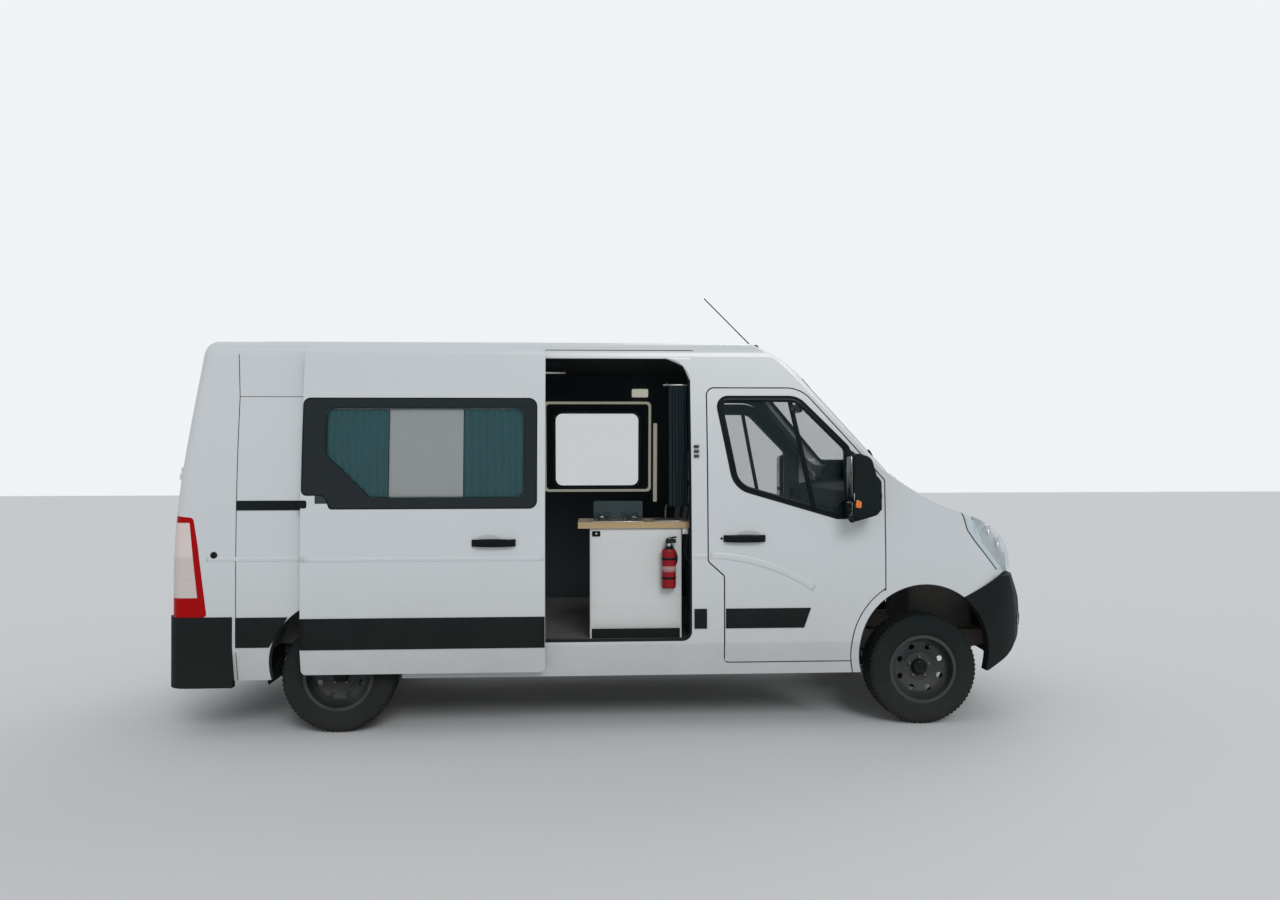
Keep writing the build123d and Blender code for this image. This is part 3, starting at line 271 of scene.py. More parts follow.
def moulded(name, colour, rough=0.6, grain=900.0, film=0.05, strength=0.35):
    """Grained moulded plastic, a little faded and dusty near the ground."""
    finish = Finish(name, specular_ior_level=0.09)
    dust = road_film(finish, 1.1, film)
    cloud = finish.noise(6.0, 3.0)
    tone = finish.mix(cloud, colour, shade(colour, 1.5, 0.002))
    finish.feed("Base Color", finish.mix(dust, tone, DUST))
    finish.feed("Roughness", cloud * 0.12 + (rough - 0.06))
    finish.bump(finish.noise(grain, 2.0), strength, 0.0008)
    return finish.material


def dusty_steel(name, colour, rough=0.6, metallic=0.0, film=0.45, rust=0.5):
    """Painted underbody steel with dust and some rust bloom."""
    finish = Finish(name, metallic=metallic)
    bloom = finish.noise(14.0, 5.0, 0.65).above(0.6, 0.16)
    dust = finish.noise(5.0, 4.0, 0.6).above(0.45, 0.4)
    tone = finish.mix(dust * film, colour, DUST)
    finish.feed("Base Color", finish.mix(bloom * rust, tone, (0.13, 0.055, 0.025)))
    finish.feed("Roughness", dust * 0.2 + rough)
    finish.bump(finish.noise(160.0, 3.0), 0.3, 0.001)
    return finish.material


def clear_glass(name, colour, alpha, rough=0.02):
    """Thin tinted glass: gloss from the shader, the rest let through."""
    finish = Finish(name, base_color=colour, roughness=rough, alpha=alpha, specular_ior_level=0.6)
    return finish.material


def woven(name, colour, other, pitch=0.0022, sheen=0.3):
    """Plain weave: warp and weft as crossed sine ridges, with a melange of two tones."""
    finish = Finish(name, roughness=0.95, specular_ior_level=0.25)
    finish.feed("Sheen Weight", sheen)
    x, y, z = finish.axes()
    turn = 2 * math.pi / pitch
    weave = ((x + y) * turn).sine() * ((z - y) * turn).sine()
    cloud = finish.noise(60.0, 3.0)
    finish.feed("Base Color", finish.mix(weave * 0.25 + cloud * 0.6, colour, other))
    finish.bump(weave, 0.35, 0.0006)
    return finish.material


def board(name, colour, other, grain=(1, 30, 30)):
    """Laminated board with a faint grain along X."""
    finish = Finish(name, roughness=0.45, coat_weight=0.15)
    streak = finish.noise(2.2, 6.0, 0.6, grain)
    finish.feed("Base Color", finish.mix(streak, colour, other))
    finish.bump(streak, 0.08, 0.0006)
    return finish.material


WHITE = (0.585, 0.612, 0.628)
BLACK = (0.0055, 0.0085, 0.0085)


def sliding_pane():
    """Bonded side pane: black ceramic border, smoked clear area with a cut lower rear corner."""
    finish = Finish("side_pane_black_border", roughness=0.03, specular_ior_level=0.45)
    x, y, z = finish.axes()
    inside = (x + 1.807).above(0.0, 0.01) * (x + 0.588).below(0.0, 0.01)
    inside = inside * (z - 1.455).above(0.0, 0.01) * (z - 2.015).below(0.0, 0.01)
    cut = ((x + 1.807) * 0.7 + (z - 1.728) * 0.714).above(0.0, 0.01)
    inside = inside * cut
    finish.feed("Base Color", finish.mix(inside, (0.001, 0.006, 0.009), (0.004, 0.03, 0.034)))
    finish.feed("Alpha", 1.0 - inside * 0.78)
    return finish.material


def tail_lens():
    """Red lens with a clear band along the rear corner: plain above, finely ribbed below."""
    finish = Finish("tail_lamp_lens", roughness=0.16, specular_ior_level=0.12)
    x, y, z = finish.axes()
    edge = (z - 1.309) * -0.107 - 2.628
    band = (edge - x).above(0.0, 0.003) * z.above(0.852, 0.006) * z.below(1.309, 0.006)
    band = band * y.at_least(y * -1.0).above(0.99, 0.003)
    ribs = (z * 560.0).sine() * 0.5 + 0.5
    low = z.below(1.1, 0.008)
    red = finish.mix(ribs * 0.3, (0.38, 0.0, 0.001), (0.24, 0.0, 0.001))
    clear = finish.mix(low * ribs * 0.8, (0.66, 0.58, 0.56), (0.42, 0.41, 0.39))
    finish.feed("Base Color", finish.mix(band, red, clear))
    finish.bump(ribs * low, 0.25, 0.0012)
    return finish.material


def two_tone(name, low_tone, high_tone, height, rough=0.3):
    """Gloss enamel that changes tone above a height: the bottle and its valve."""
    finish = Finish(name, coat_weight=0.1, coat_roughness=0.08, specular_ior_level=0.2)
    x, y, z = finish.axes()
    cloud = finish.noise(30.0, 3.0)
    tone = finish.mix(z.above(height, 0.002), finish.mix(cloud * 0.4, low_tone, shade(low_tone, 0.7)),
        high_tone)
    finish.feed("Base Color", tone)
    finish.feed("Roughness", cloud * 0.1 + rough)
    return finish.material


def pale_trim(name, colour, glow):
    """Smooth pale plastic that gives off light of strength glow; on the frame lines this glow is painted
    light.
    """
    finish = Finish(name, roughness=0.45)
    cloud = finish.noise(12.0, 3.0)
    finish.feed("Base Color", finish.mix(cloud * 0.5, colour, shade(colour, 0.9)))
    finish.feed("Emission Color", finish.mix(cloud * 0.3, colour, shade(colour, 0.8)))
    finish.feed("Emission Strength", glow)
    return finish.material


M = {
    # the body paint is darkened inside the body, in the wheel arches and behind the sliding pane as painted
    # shade
    "body_paint": paint("body_paint_white_shaded_inside", WHITE, shade_inside=True),
    "black_plastic": moulded("grained_black_plastic", BLACK),
    "glass": clear_glass("tinted_glass", (0.012, 0.032, 0.032), 0.2),
    "lamp_clear": clear_glass("lamp_cover_clear", (0.74, 0.82, 0.86), 0.38),
    "tyre": moulded("tyre_rubber", (0.005, 0.009, 0.0095), 0.85, 500.0, 0.11, 0.5),
    "wheel_steel": dusty_steel("wheel_steel_dark", (0.012, 0.019, 0.021), 0.5, 0.0, 0.1, 0.12),
    "chassis_steel": dusty_steel("underbody_steel", (0.03, 0.03, 0.03)),
    "engine_iron": dusty_steel("engine_cast", (0.12, 0.12, 0.12), 0.7, 0.3),
    "tank_plastic": moulded("tank_plastic", (0.02, 0.02, 0.02), 0.6),
    "floor_paint": moulded("floor_covering", (0.1, 0.1, 0.095), 0.7, 260.0, 0.0),
    "seat_fabric": woven("seat_cloth", (0.03, 0.032, 0.036), (0.075, 0.08, 0.088)),
    "mattress_fabric": woven("mattress_cloth", (0.1, 0.12, 0.13), (0.2, 0.22, 0.23)),
    "cabinet_board": board("cabinet_white_board", (0.6, 0.62, 0.61), (0.54, 0.56, 0.55)),
    "worktop_board": board("worktop_pale_wood", (0.46, 0.34, 0.175), (0.34, 0.24, 0.12)),
    "curtain_fabric": woven("curtain_cloth_teal_grey", (0.055, 0.17, 0.185), (0.085, 0.22, 0.24), 0.0016),
    "blind_fabric": woven("blind_cloth_white", (0.74, 0.76, 0.76), (0.8, 0.81, 0.81), 0.0012),
    "gloss_black": moulded("gloss_black_trim", (0.004, 0.006, 0.007), 0.22, 300.0, 0.06, 0.05),
    "rubber": moulded("seal_rubber", (0.005, 0.0085, 0.009), 0.75, 600.0, 0.1, 0.2),
    "black_glass": sliding_pane(),
    # painted shade: the finger dishes are a darker white for the shade in their recess
    "dish_painted_shade": paint("body_paint_shaded", shade(WHITE, 0.8), 0.2),
    "seam": moulded("panel_joint_shadow", (0.05, 0.052, 0.054), 0.9, 400.0, 0.0, 0.1),
    "trim_silver": dusty_steel("trim_silver", (0.5, 0.51, 0.52), 0.22, 0.9),
    "bolt_steel": dusty_steel("bolt_steel", (0.1, 0.1, 0.1), 0.42, 0.7),
    "plate_white": paint("plate_blank_white", (0.72, 0.72, 0.7), 0.3, 0.4),
    "lamp_lens": clear_glass("small_lamp_lens", (0.8, 0.83, 0.85), 0.45, 0.05),
    "bulb": clear_glass("bulb_glass", (0.75, 0.72, 0.62), 0.8, 0.05),
    "reflector": dusty_steel("lamp_reflector", (0.78, 0.79, 0.8), 0.12, 1.0),
    "amber": paint("lamp_amber", (0.75, 0.17, 0.02), 0.0, 0.12),
    "red_lens": paint("lamp_small_red", (0.42, 0.01, 0.012), 0.0, 0.12),
    "mirror_glass": dusty_steel("mirror_silvering", (0.5, 0.53, 0.55), 0.04, 1.0),
    "dark_curtain": woven("curtain_cloth_dark_teal", (0.003, 0.018, 0.025), (0.006, 0.028, 0.036), 0.0018,
        0.1),
    "belt": woven("belt_webbing", (0.012, 0.012, 0.013), (0.03, 0.03, 0.032), 0.003, 0.1),
    "switch_white": moulded("switch_white_plastic", (0.6, 0.6, 0.57), 0.4, 300.0, 0.0, 0.05),
    "lid_glass": clear_glass("hob_lid_glass", (0.025, 0.05, 0.056), 0.8, 0.06),
    # painted light: the cream frame lines glow though they are no lamp
    "cream": pale_trim("cream_frame_plastic_painted_glow", (0.66, 0.66, 0.52), 0.3),
    "lamp_cream": pale_trim("wall_lamp_diffuser", (0.66, 0.66, 0.54), 0.55),
    "label": moulded("label_blank_dull", (0.3, 0.17, 0.17), 0.5, 200.0, 0.0, 0.05),
    "lamp_edge": paint("lamp_edge_silver", (0.5, 0.58, 0.62), 0.0, 0.12),
    "visor": moulded("grey_trim_board", (0.06, 0.064, 0.068), 0.8, 500.0, 0.0, 0.2),
    "lamp_red": tail_lens(),
    "extinguisher_red": two_tone("extinguisher_red", (0.26, 0.004, 0.01), (0.006, 0.01, 0.01), 1.126),
}

for entry in frame["record"]["subparts"]:
    node = NODES[entry["node"]]
    slot = entry["material_slot"]
    if entry["node"] == "mattress":
        slot = "mattress_fabric"
    node.data.materials.clear()
    node.data.materials.append(M[slot])


# Surface helpers: every piece is arrays of points put straight into a mesh

def mesh_piece(name, points, faces, finish, smooth=True):
    """Put points and faces into a mesh whose faces point outwards."""
    mesh = bpy.data.meshes.new(name)
    mesh.from_pydata(np.asarray(points, float).tolist(), [], faces)
    mesh.materials.append(M[finish])
    if smooth:
        mesh.polygons.foreach_set("use_smooth", np.ones(len(mesh.polygons), bool))
    mesh.update()
    piece = bpy.data.objects.new(name, mesh)
    bpy.context.scene.collection.objects.link(piece)
    return piece


def grid_faces(rows, columns, closed_rows=False):
    """Quads of a grid of rows by columns, its columns joined round, its rows too where it is closed."""
    i, j = np.meshgrid(np.arange(rows if closed_rows else rows - 1), np.arange(columns), indexing="ij")
    k, m = (i + 1) % rows, (j + 1) % columns
    quads = np.stack([i * columns + j, k * columns + j, k * columns + m, i * columns + m], -1)
    return quads.reshape(-1, 4).tolist()


def signed_volume(rings):
    """Six times the volume inside stacked rings, by the sum of triple products."""
    p = rings[:-1]
    q = rings[1:]
    pn = np.roll(p, -1, 1)
    qn = np.roll(q, -1, 1)
    total = np.einsum("ijk,ijk->", p, np.cross(q, qn)) + np.einsum("ijk,ijk->", p, np.cross(qn, pn))
    for ring, sign in ((rings[0], -1), (rings[-1], 1)):
        middle = ring.mean(0)
        total += sign * np.einsum("ik,ik->", np.roll(ring, -1, 0), np.cross(ring, middle[None]))
    return total


def loft(name, rings, material, smooth=True, body="van", replaces=()):
    """A closed skin over rings of points, (ring, point, xyz), with flat ends."""
    rings = np.asarray(rings, float)
    count, around = rings.shape[:2]
    if signed_volume(rings) < 0:
        rings = rings[:, ::-1]
    faces = grid_faces(count, around)
    faces.append(list(range(around)))
    faces.append(list(range(count * around - 1, (count - 1) * around - 1, -1)))
    return settle(name, rings, faces, material, smooth, body, replaces)


def settle(name, rings, faces, material, smooth, body, replaces):
    """Make the piece; give it its body and hide the nodes it stands for."""
    piece = mesh_piece(name, rings.reshape(-1, 3), faces, material, smooth)
    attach(piece, body)
    if replaces:
        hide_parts(*replaces)
    return piece


def rounded(width, height, radius, steps=5):
    """Points of a rounded rectangle about its middle, (n, 2)."""
    turn = np.linspace(0, math.pi / 2, steps)
    parts = []
    for quarter, (sx, sy) in enumerate(((1, 1), (-1, 1), (-1, -1), (1, -1))):
        angle = turn + quarter * math.pi / 2
        parts.append(np.stack([sx * (width / 2 - radius) + radius * np.cos(angle),
            sy * (height / 2 - radius) + radius * np.sin(angle)], -1))
    return np.concatenate(parts)


def oval(a, b, wide, high, count):
    """Outline of an oval about (a, b)."""
    turn = np.linspace(0, 2 * math.pi, count, endpoint=False)
    return np.stack([a + wide * np.cos(turn), b + high * np.sin(turn)], -1)


def lift(ring, z):
    """An outline put at height z."""
    return np.concatenate([ring, np.full((len(ring), 1), z)], 1)


def ridge(half, high, count=7):
    """Section of a pressed line: a low ridge with long soft flanks and a flat back."""
    across = np.linspace(-1, 1, count)
    top = high * np.cos(across * math.pi / 2) ** 2 + 0.0002
    return np.concatenate([np.stack([half * across, top], -1),
        np.stack([half * across[::-1], 0 * across - 0.002], -1)])


def arc_outline(rows, steps=10):
    """A polyline through corner arcs from rows of (a, b, radius)."""
    rows = np.asarray(rows, float)
    parts = []
    for index, (a, b, radius) in enumerate(rows):
        corner = np.array([a, b])
        if radius <= 0:
            parts.append(corner[None])
            continue
        back = rows[index - 1, :2] - corner
        ahead = rows[(index + 1) % len(rows), :2] - corner
        back /= np.linalg.norm(back)
        ahead /= np.linalg.norm(ahead)
        half = math.acos(np.clip(back @ ahead, -1, 1)) / 2
        middle = back + ahead
        centre = corner + middle / np.linalg.norm(middle) * radius / math.sin(half)
        first = corner + back * radius / math.tan(half) - centre
        last = corner + ahead * radius / math.tan(half) - centre
        start = math.atan2(first[1], first[0])
        turn = (math.atan2(last[1], last[0]) - start + math.pi) % (2 * math.pi) - math.pi
        angle = start + turn * np.linspace(0, 1, steps)
        parts.append(centre + radius * np.stack([np.cos(angle), np.sin(angle)], -1))
    return np.concatenate(parts)


def block(a0, a1, b0, b1, radius, steps=5):
    """Outline of a rectangle with rounded corners."""
    return arc_outline([(a0, b0, radius), (a1, b0, radius), (a1, b1, radius), (a0, b1, radius)], steps)


CROWN = (EAVES_Y * math.tan(ROOF) - (HEIGHT - EAVES_Z)) / (1 / math.cos(ROOF) - 1)
ARC = 24
SECTION = arc_outline([(0.995, 0.34, 0), (SIDE, 0.54, 0), (SIDE, BELT, 2.5), (SIDE - 0.021, SHOULDER, 7.0),
    (EAVES_Y, EAVES_Z, 0.11), (0, EAVES_Z + EAVES_Y * math.tan(ROOF), CROWN), (-EAVES_Y, EAVES_Z, 0.11),
    (-0.995, 0.34, 0)], ARC)
FLANK = SECTION[:2 + 3 * ARC]
CROWN_LINE = SECTION[2 + 2 * ARC:2 + 4 * ARC]
CROWN_LINE = CROWN_LINE[CROWN_LINE[:, 0] > -0.2][::-1]
REAR_LINE = arc_outline([(REAR_FACE, 0.1, 0), (REAR_FACE, REAR_TURN, 6.0), (-2.557, 2.699, 0),
    (0, 2.0, 0)], ARC)[:2 + ARC]
SCREEN_AXIS = -0.7
SCREEN_LINE = arc_outline([(1.905, 0.15, 0), (1.905, 1.579, 0), (1.095, HEIGHT + 0.003, 0.768),
    (0, HEIGHT, 0)], ARC)
NOSE_AXIS = -1.126
NOSE_LINE = arc_outline([(HALF - 0.184, 0.25, 0), (HALF - 0.134, 0.3, 0.06), (HALF, 0.52, 0.25),
    (HALF, 0.74, 0.06), (HALF - 0.098, 0.93, 0.12), (HALF - 0.131, 1.216, 0.38), (2.06, 1.458, 1.5),
    (1.8, 1.655, 0), (0, 1.7, 0)], ARC)


def side_y(z):
    """Half-width of the van's side at height z, from its cross-section."""
    return np.interp(z, FLANK[:, 1], FLANK[:, 0])


def roof_z(y):
    """Height of the roof's crown at y, from the cross-section."""
    return np.interp(np.abs(y), CROWN_LINE[:, 0], CROWN_LINE[:, 1])


def rear_x(z):
    """Place of the rear face at height z."""
    return np.interp(z, REAR_LINE[:, 1], REAR_LINE[:, 0])


def turned_x(line, axis, y, z):
    """Place of a surface turned about an upright axis: the line's reach at z, brought back round the
    circle."""
    order = np.argsort(line[1:-1, 1])
    reach = np.interp(z, line[1:-1, 1][order], line[1:-1, 0][order]) - axis
    return axis + np.sqrt(np.maximum(reach ** 2 - np.asarray(y) ** 2, 1e-06))


def screen_x(y, z):
    """Place of the windscreen's outer face."""
    return turned_x(SCREEN_LINE, SCREEN_AXIS, y, z)


def nose_x(y, z):
    """Place of the nose, bonnet to bumper."""
    return turned_x(NOSE_LINE, NOSE_AXIS, y, z)


def inset_line(points, distance):
    """An outline moved inwards: each point goes along the normal of its two neighbours."""
    points = np.asarray(points, float)
    along = np.roll(points, -1, 0) - np.roll(points, 1, 0)
    along /= np.linalg.norm(along, axis=1)[:, None] + 1e-12
    area = np.sum(points[:, 0] * np.roll(points[:, 1], -1) - points[:, 1] * np.roll(points[:, 0], -1))
    inward = np.stack([-along[:, 1], along[:, 0]], -1) * np.sign(area)
    return points + inward * distance


def resample(points, count, closed=True):
    """A line's points spaced evenly by arc length."""
    points = np.asarray(points, float)
    if closed:
        points = np.concatenate([points, points[:1]])
    steps = np.concatenate([[0], np.cumsum(np.linalg.norm(np.diff(points, axis=0), axis=1))])
    want = np.linspace(0, steps[-1], count, endpoint=not closed)
    return np.stack([np.interp(want, steps, points[:, k]) for k in range(points.shape[1])], -1)


def plate(name, outline, place, material, top, bottom=-0.003, edge=0.003, body="van", crown=0.0):
    """A plate on a surface: the outline shrunk towards its middle in rings, its rim rounded by edge, and
    its middle raised by crown times one minus the square of the ring's size."""
    outline = np.asarray(outline, float)
    middle = outline.mean(0)
    inner = inset_line(outline, edge)
    shrink = np.linspace(1, 0.02, 6)[:, None, None]
    field = middle + (inner - middle) * shrink
    height = top + crown * (1 - shrink[..., 0] ** 2) + 0 * field[..., 0]
    flat = np.concatenate([np.stack([outline, outline, inset_line(outline, edge * 0.3)]), field])
    rim = np.array([bottom, top - edge, top - edge * 0.3])[:, None] + 0 * outline[None, :, 0]
    height = np.concatenate([rim, height])
    loft(name, place(flat[..., 0], flat[..., 1], height), material, body=body)


def frame_plate(name, outer, inner, place, material, top, bottom=-0.003, edge=0.002, body="van"):
    """A flat ring between two outlines of the same count, its section a low rounded box."""
    outer, inner = np.asarray(outer, float), np.asarray(inner, float)
    mix = np.array([0, 0, 0.06, 0.5, 0.94, 1, 1])[:, None, None]
    rise = np.array([bottom, top - edge, top, top, top, top - edge, bottom])[:, None]
    flat = outer * (1 - mix) + inner * mix
    torus(name, place(flat[..., 0], flat[..., 1], rise + 0 * flat[..., 0]), material, body=body)


def torus(name, rings, material, body="van", replaces=()):
    """A skin closed both ways, (round, along, xyz)."""
    rings = np.asarray(rings, float)
    a, b = rings, np.roll(rings, -1, 0)
    c, d = np.roll(b, -1, 1), np.roll(a, -1, 1)
    if np.einsum("ijk,ijk->", a, np.cross(b, c)) + np.einsum("ijk,ijk->", a, np.cross(c, d)) < 0:
        rings = rings[::-1]
    faces = grid_faces(*rings.shape[:2], closed_rows=True)
    return settle(name, rings, faces, material, True, body, replaces)


def sweep(name, path, normal, section, material, closed=False, body="van", scale=None):
    """A section (across, out) carried along a path; across is the path's direction crossed with the
    normal."""
    path = np.asarray(path, float)
    if closed:
        along = np.roll(path, -1, 0) - np.roll(path, 1, 0)
    else:
        along = np.gradient(path, axis=0)
    along /= np.linalg.norm(along, axis=1)[:, None]
    normal = np.broadcast_to(np.asarray(normal, float), path.shape)
    across = np.cross(along, normal)
    across /= np.linalg.norm(across, axis=1)[:, None]
    out = np.cross(across, along)
    section = np.asarray(section, float)
    size = np.ones(len(path)) if scale is None else np.asarray(scale, float)
    rings = path[:, None] + (across[:, None] * section[None, :, :1] + out[:, None] * section[None, :,
        1:]) * size[:, None, None]
    if closed:
        torus(name, rings, material, body)
    else:
        loft(name, rings, material, body=body)


def ring_section(radius, steps=12):
    """A round section."""
    turn = np.linspace(0, 2 * math.pi, steps, endpoint=False)
    return radius * np.stack([np.cos(turn), np.sin(turn)], -1)


def lathe(name, profile, centre, axis, material, steps=48, body="van", smooth=True):
    """A profile of (along axis, radius) turned about an axis; it starts and ends on the axis or closes
    on itself."""
    profile = np.asarray(profile, float)
    axis = np.asarray(axis, float) / np.linalg.norm(axis)
    side = np.cross(axis, (0, 0, 1.0) if abs(axis[2]) < 0.9 else (1.0, 0, 0))
    side /= np.linalg.norm(side)
    other = np.cross(axis, side)
    turn = np.linspace(0, 2 * math.pi, steps, endpoint=False)
    circle = np.cos(turn)[:, None] * side + np.sin(turn)[:, None] * other
    rings = np.asarray(centre, float) + profile[:, None, :1] * axis + profile[:, None, 1:] * circle[None]
    loft(name, rings, material, smooth, body)


def box_form(name, low, high, material, radius=0.006, body="van"):
    """A box with rounded upright edges and eased top and bottom, as a stack of rounded rectangles along
    Z."""
    low, high = np.asarray(low, float), np.asarray(high, float)
    size = high - low
    middle = (low + high) / 2
    ease = min(radius, size[2] * 0.45)
    rows = []
    for z, cut in ((low[2], ease), (low[2] + ease * 0.3, ease * 0.3), (low[2] + ease, 0),
            (high[2] - ease, 0), (high[2] - ease * 0.3, ease * 0.3), (high[2], ease)):
        ring = rounded(size[0] - 2 * cut, size[1] - 2 * cut, max(radius - cut, 0.0005), 4)
        rows.append(lift(middle[:2] + ring, z))
    loft(name, rows, material, body=body)


def side_place(sign, shift=0.0):
    """Maps (x, z, height) to the van's side."""
    return lambda a, b, h: np.stack([a, sign * (side_y(b) + shift + h), b], -1)


def rear_place(a, b, h):
    """Maps (y, z, height) to the rear face."""
    return np.stack([rear_x(b) - h, a, b], -1)


def nose_place(a, b, h):
    """Maps (y, z, height) to the nose."""
    return np.stack([nose_x(a, b) + h, a, b], -1)


def screen_place(a, b, h):
    """Maps (y, z, height) to the windscreen."""
    return np.stack([screen_x(a, b) + h, a, b], -1)


def roof_place(a, b, h):
    """Maps (x, y, height) to the roof."""
    return np.stack([a, b, roof_z(b) + h], -1)


def arch_edge(where, z, margin=0.0):
    """Half-width of a wheel arch's opening at height z, its circle grown by margin."""
    x, centre, radius = ARCH[where]
    return np.sqrt(np.maximum((radius + margin) ** 2 - (np.asarray(z) - centre) ** 2, 0))


def rub_strip(name, start, end, z0, z1, sign, body, shift=0.0):
    """A moulding on the side whose ends follow functions of height."""
    out, into = 0.007, 0.004
    section = rounded(z1 - z0, out + into, 0.005, 6)
    z = (z0 + z1) / 2 + section[:, 0]
    deep = (out - into) / 2 + section[:, 1]
    along = np.linspace(0, 1, 30)[:, None]
    x = start(z)[None] * (1 - along) + end(z)[None] * along
    y = side_y(z)[None] + deep[None] + shift + 0 * x
    loft(name, np.stack([x, sign * y, z[None] + 0 * x], -1), "black_plastic", body=body)


# Side mouldings, handles, seams and seals

def side_mouldings():
    """Black strips low on both sides, a slanted nose on the front doors' strips."""
    flat = lambda value: lambda z: value + 0 * z
    for word, sign in SIDES:
        door = "front_door_%s_body" % word
        rub_strip("strip_quarter_" + word, flat(-2.35), lambda z: REAR_AXLE - arch_edge("rear", z, 0.012),
            0.546, 0.73, sign, "van")
        rub_strip("strip_front_door_" + word, flat(0.66), lambda z: 1.152 + (z - 0.633) * 0.36, 0.633,
            0.757, sign, door)
    rub_strip("strip_middle_left", lambda z: REAR_AXLE + arch_edge("rear", z, 0.012), flat(0.537), 0.546,
        0.73, 1.0, "van")
    rub_strip("strip_sliding_door", flat(-1.943), flat(-0.468), 0.54, 0.73, -1.0, "van", DOOR_OUT)
    rub_strip("strip_ahead_of_doorway", flat(0.462), flat(0.54), 0.633, 0.757, -1.0, "van")


def handle(name, x0, x1, z, sign, body, shift=0.0):
    """A pull handle: a bar standing on two feet, its section swelling towards the middle."""
    t = np.linspace(0, 1, 33)
    x = x0 + (x1 - x0) * t
    rise = 0.006 + 0.022 * np.clip(np.sin(math.pi * t) * 2.2, 0, 1) ** 0.7
    tall = 0.022 + 0.004 * np.sin(math.pi * t)
    section = rounded(1.0, 1.0, 0.3, 6)
    zz = z + section[None, :, 0] * tall[:, None] * 1.9
    y = side_y(np.full(1, z))[0] + shift + rise[:, None] + section[None, :, 1] * 0.016
    foot = np.minimum(np.abs(t - 0.5) * 2, 1)[:, None] > 0.86
    y = np.where(foot & (section[None, :, 1] < 0), side_y(np.full(1, z))[0] + shift - 0.004, y)
    loft(name, np.stack([x[:, None] + 0 * zz, sign * y, zz], -1), "gloss_black", body=body)


def half_round(x0, x1, z0, rise, steps=24):
    """Outline of a low arched recess over a handle."""
    t = np.linspace(0, math.pi, steps)
    middle, half = (x0 + x1) / 2, (x1 - x0) / 2
    return np.stack([middle + half * np.cos(t), z0 + rise * np.sin(t)], -1)


def side_handles():
    """Handles of the front doors and the sliding door, each with its arched finger dish in darker paint,
    painted shade for the recess.
    """
    for word, sign in SIDES:
        body = "front_door_%s_body" % word
        handle("front_door_handle_" + word, 0.646, 0.909, 1.195, sign, body)
        plate("front_door_dish_" + word, half_round(0.735, 0.88, 1.218, 0.03), side_place(sign),
            "dish_painted_shade", 0.0015, edge=0.001, body=body)
        plate("front_door_lock_" + word, oval(0.634, 1.195, 0.008, 0.008, 20), side_place(sign),
            "gloss_black", 0.003, edge=0.001, body=body)
    handle("sliding_door_handle", -0.911, -0.644, 1.183, -1.0, "van", DOOR_OUT)
    plate("sliding_door_dish", half_round(-0.88, -0.735, 1.206, 0.028), side_place(-1.0, DOOR_OUT),
        "dish_painted_shade", 0.0015, edge=0.001)


def seam(name, points, sign, width=0.005):
    """A panel joint: a thin dark line along the side, flush with the skin."""
    points = np.asarray(points, float)
    path = side_place(sign)(points[:, 0], points[:, 1], 0 * points[:, 0])
    sweep(name, path, (0, sign, 0), rounded(width, 0.0036, 0.0008, 3) + (0, -0.001), "seam")


def crease(name, x0, x1, sign, shift=0.0):
    """The pressed line along the side."""
    x = np.linspace(x0, x1, 24)
    path = side_place(sign, shift)(x, np.full(24, CREASE), 0 * x)
    sweep(name, path, (0, sign, 0), ridge(0.016, 0.0022, 9), "body_paint")


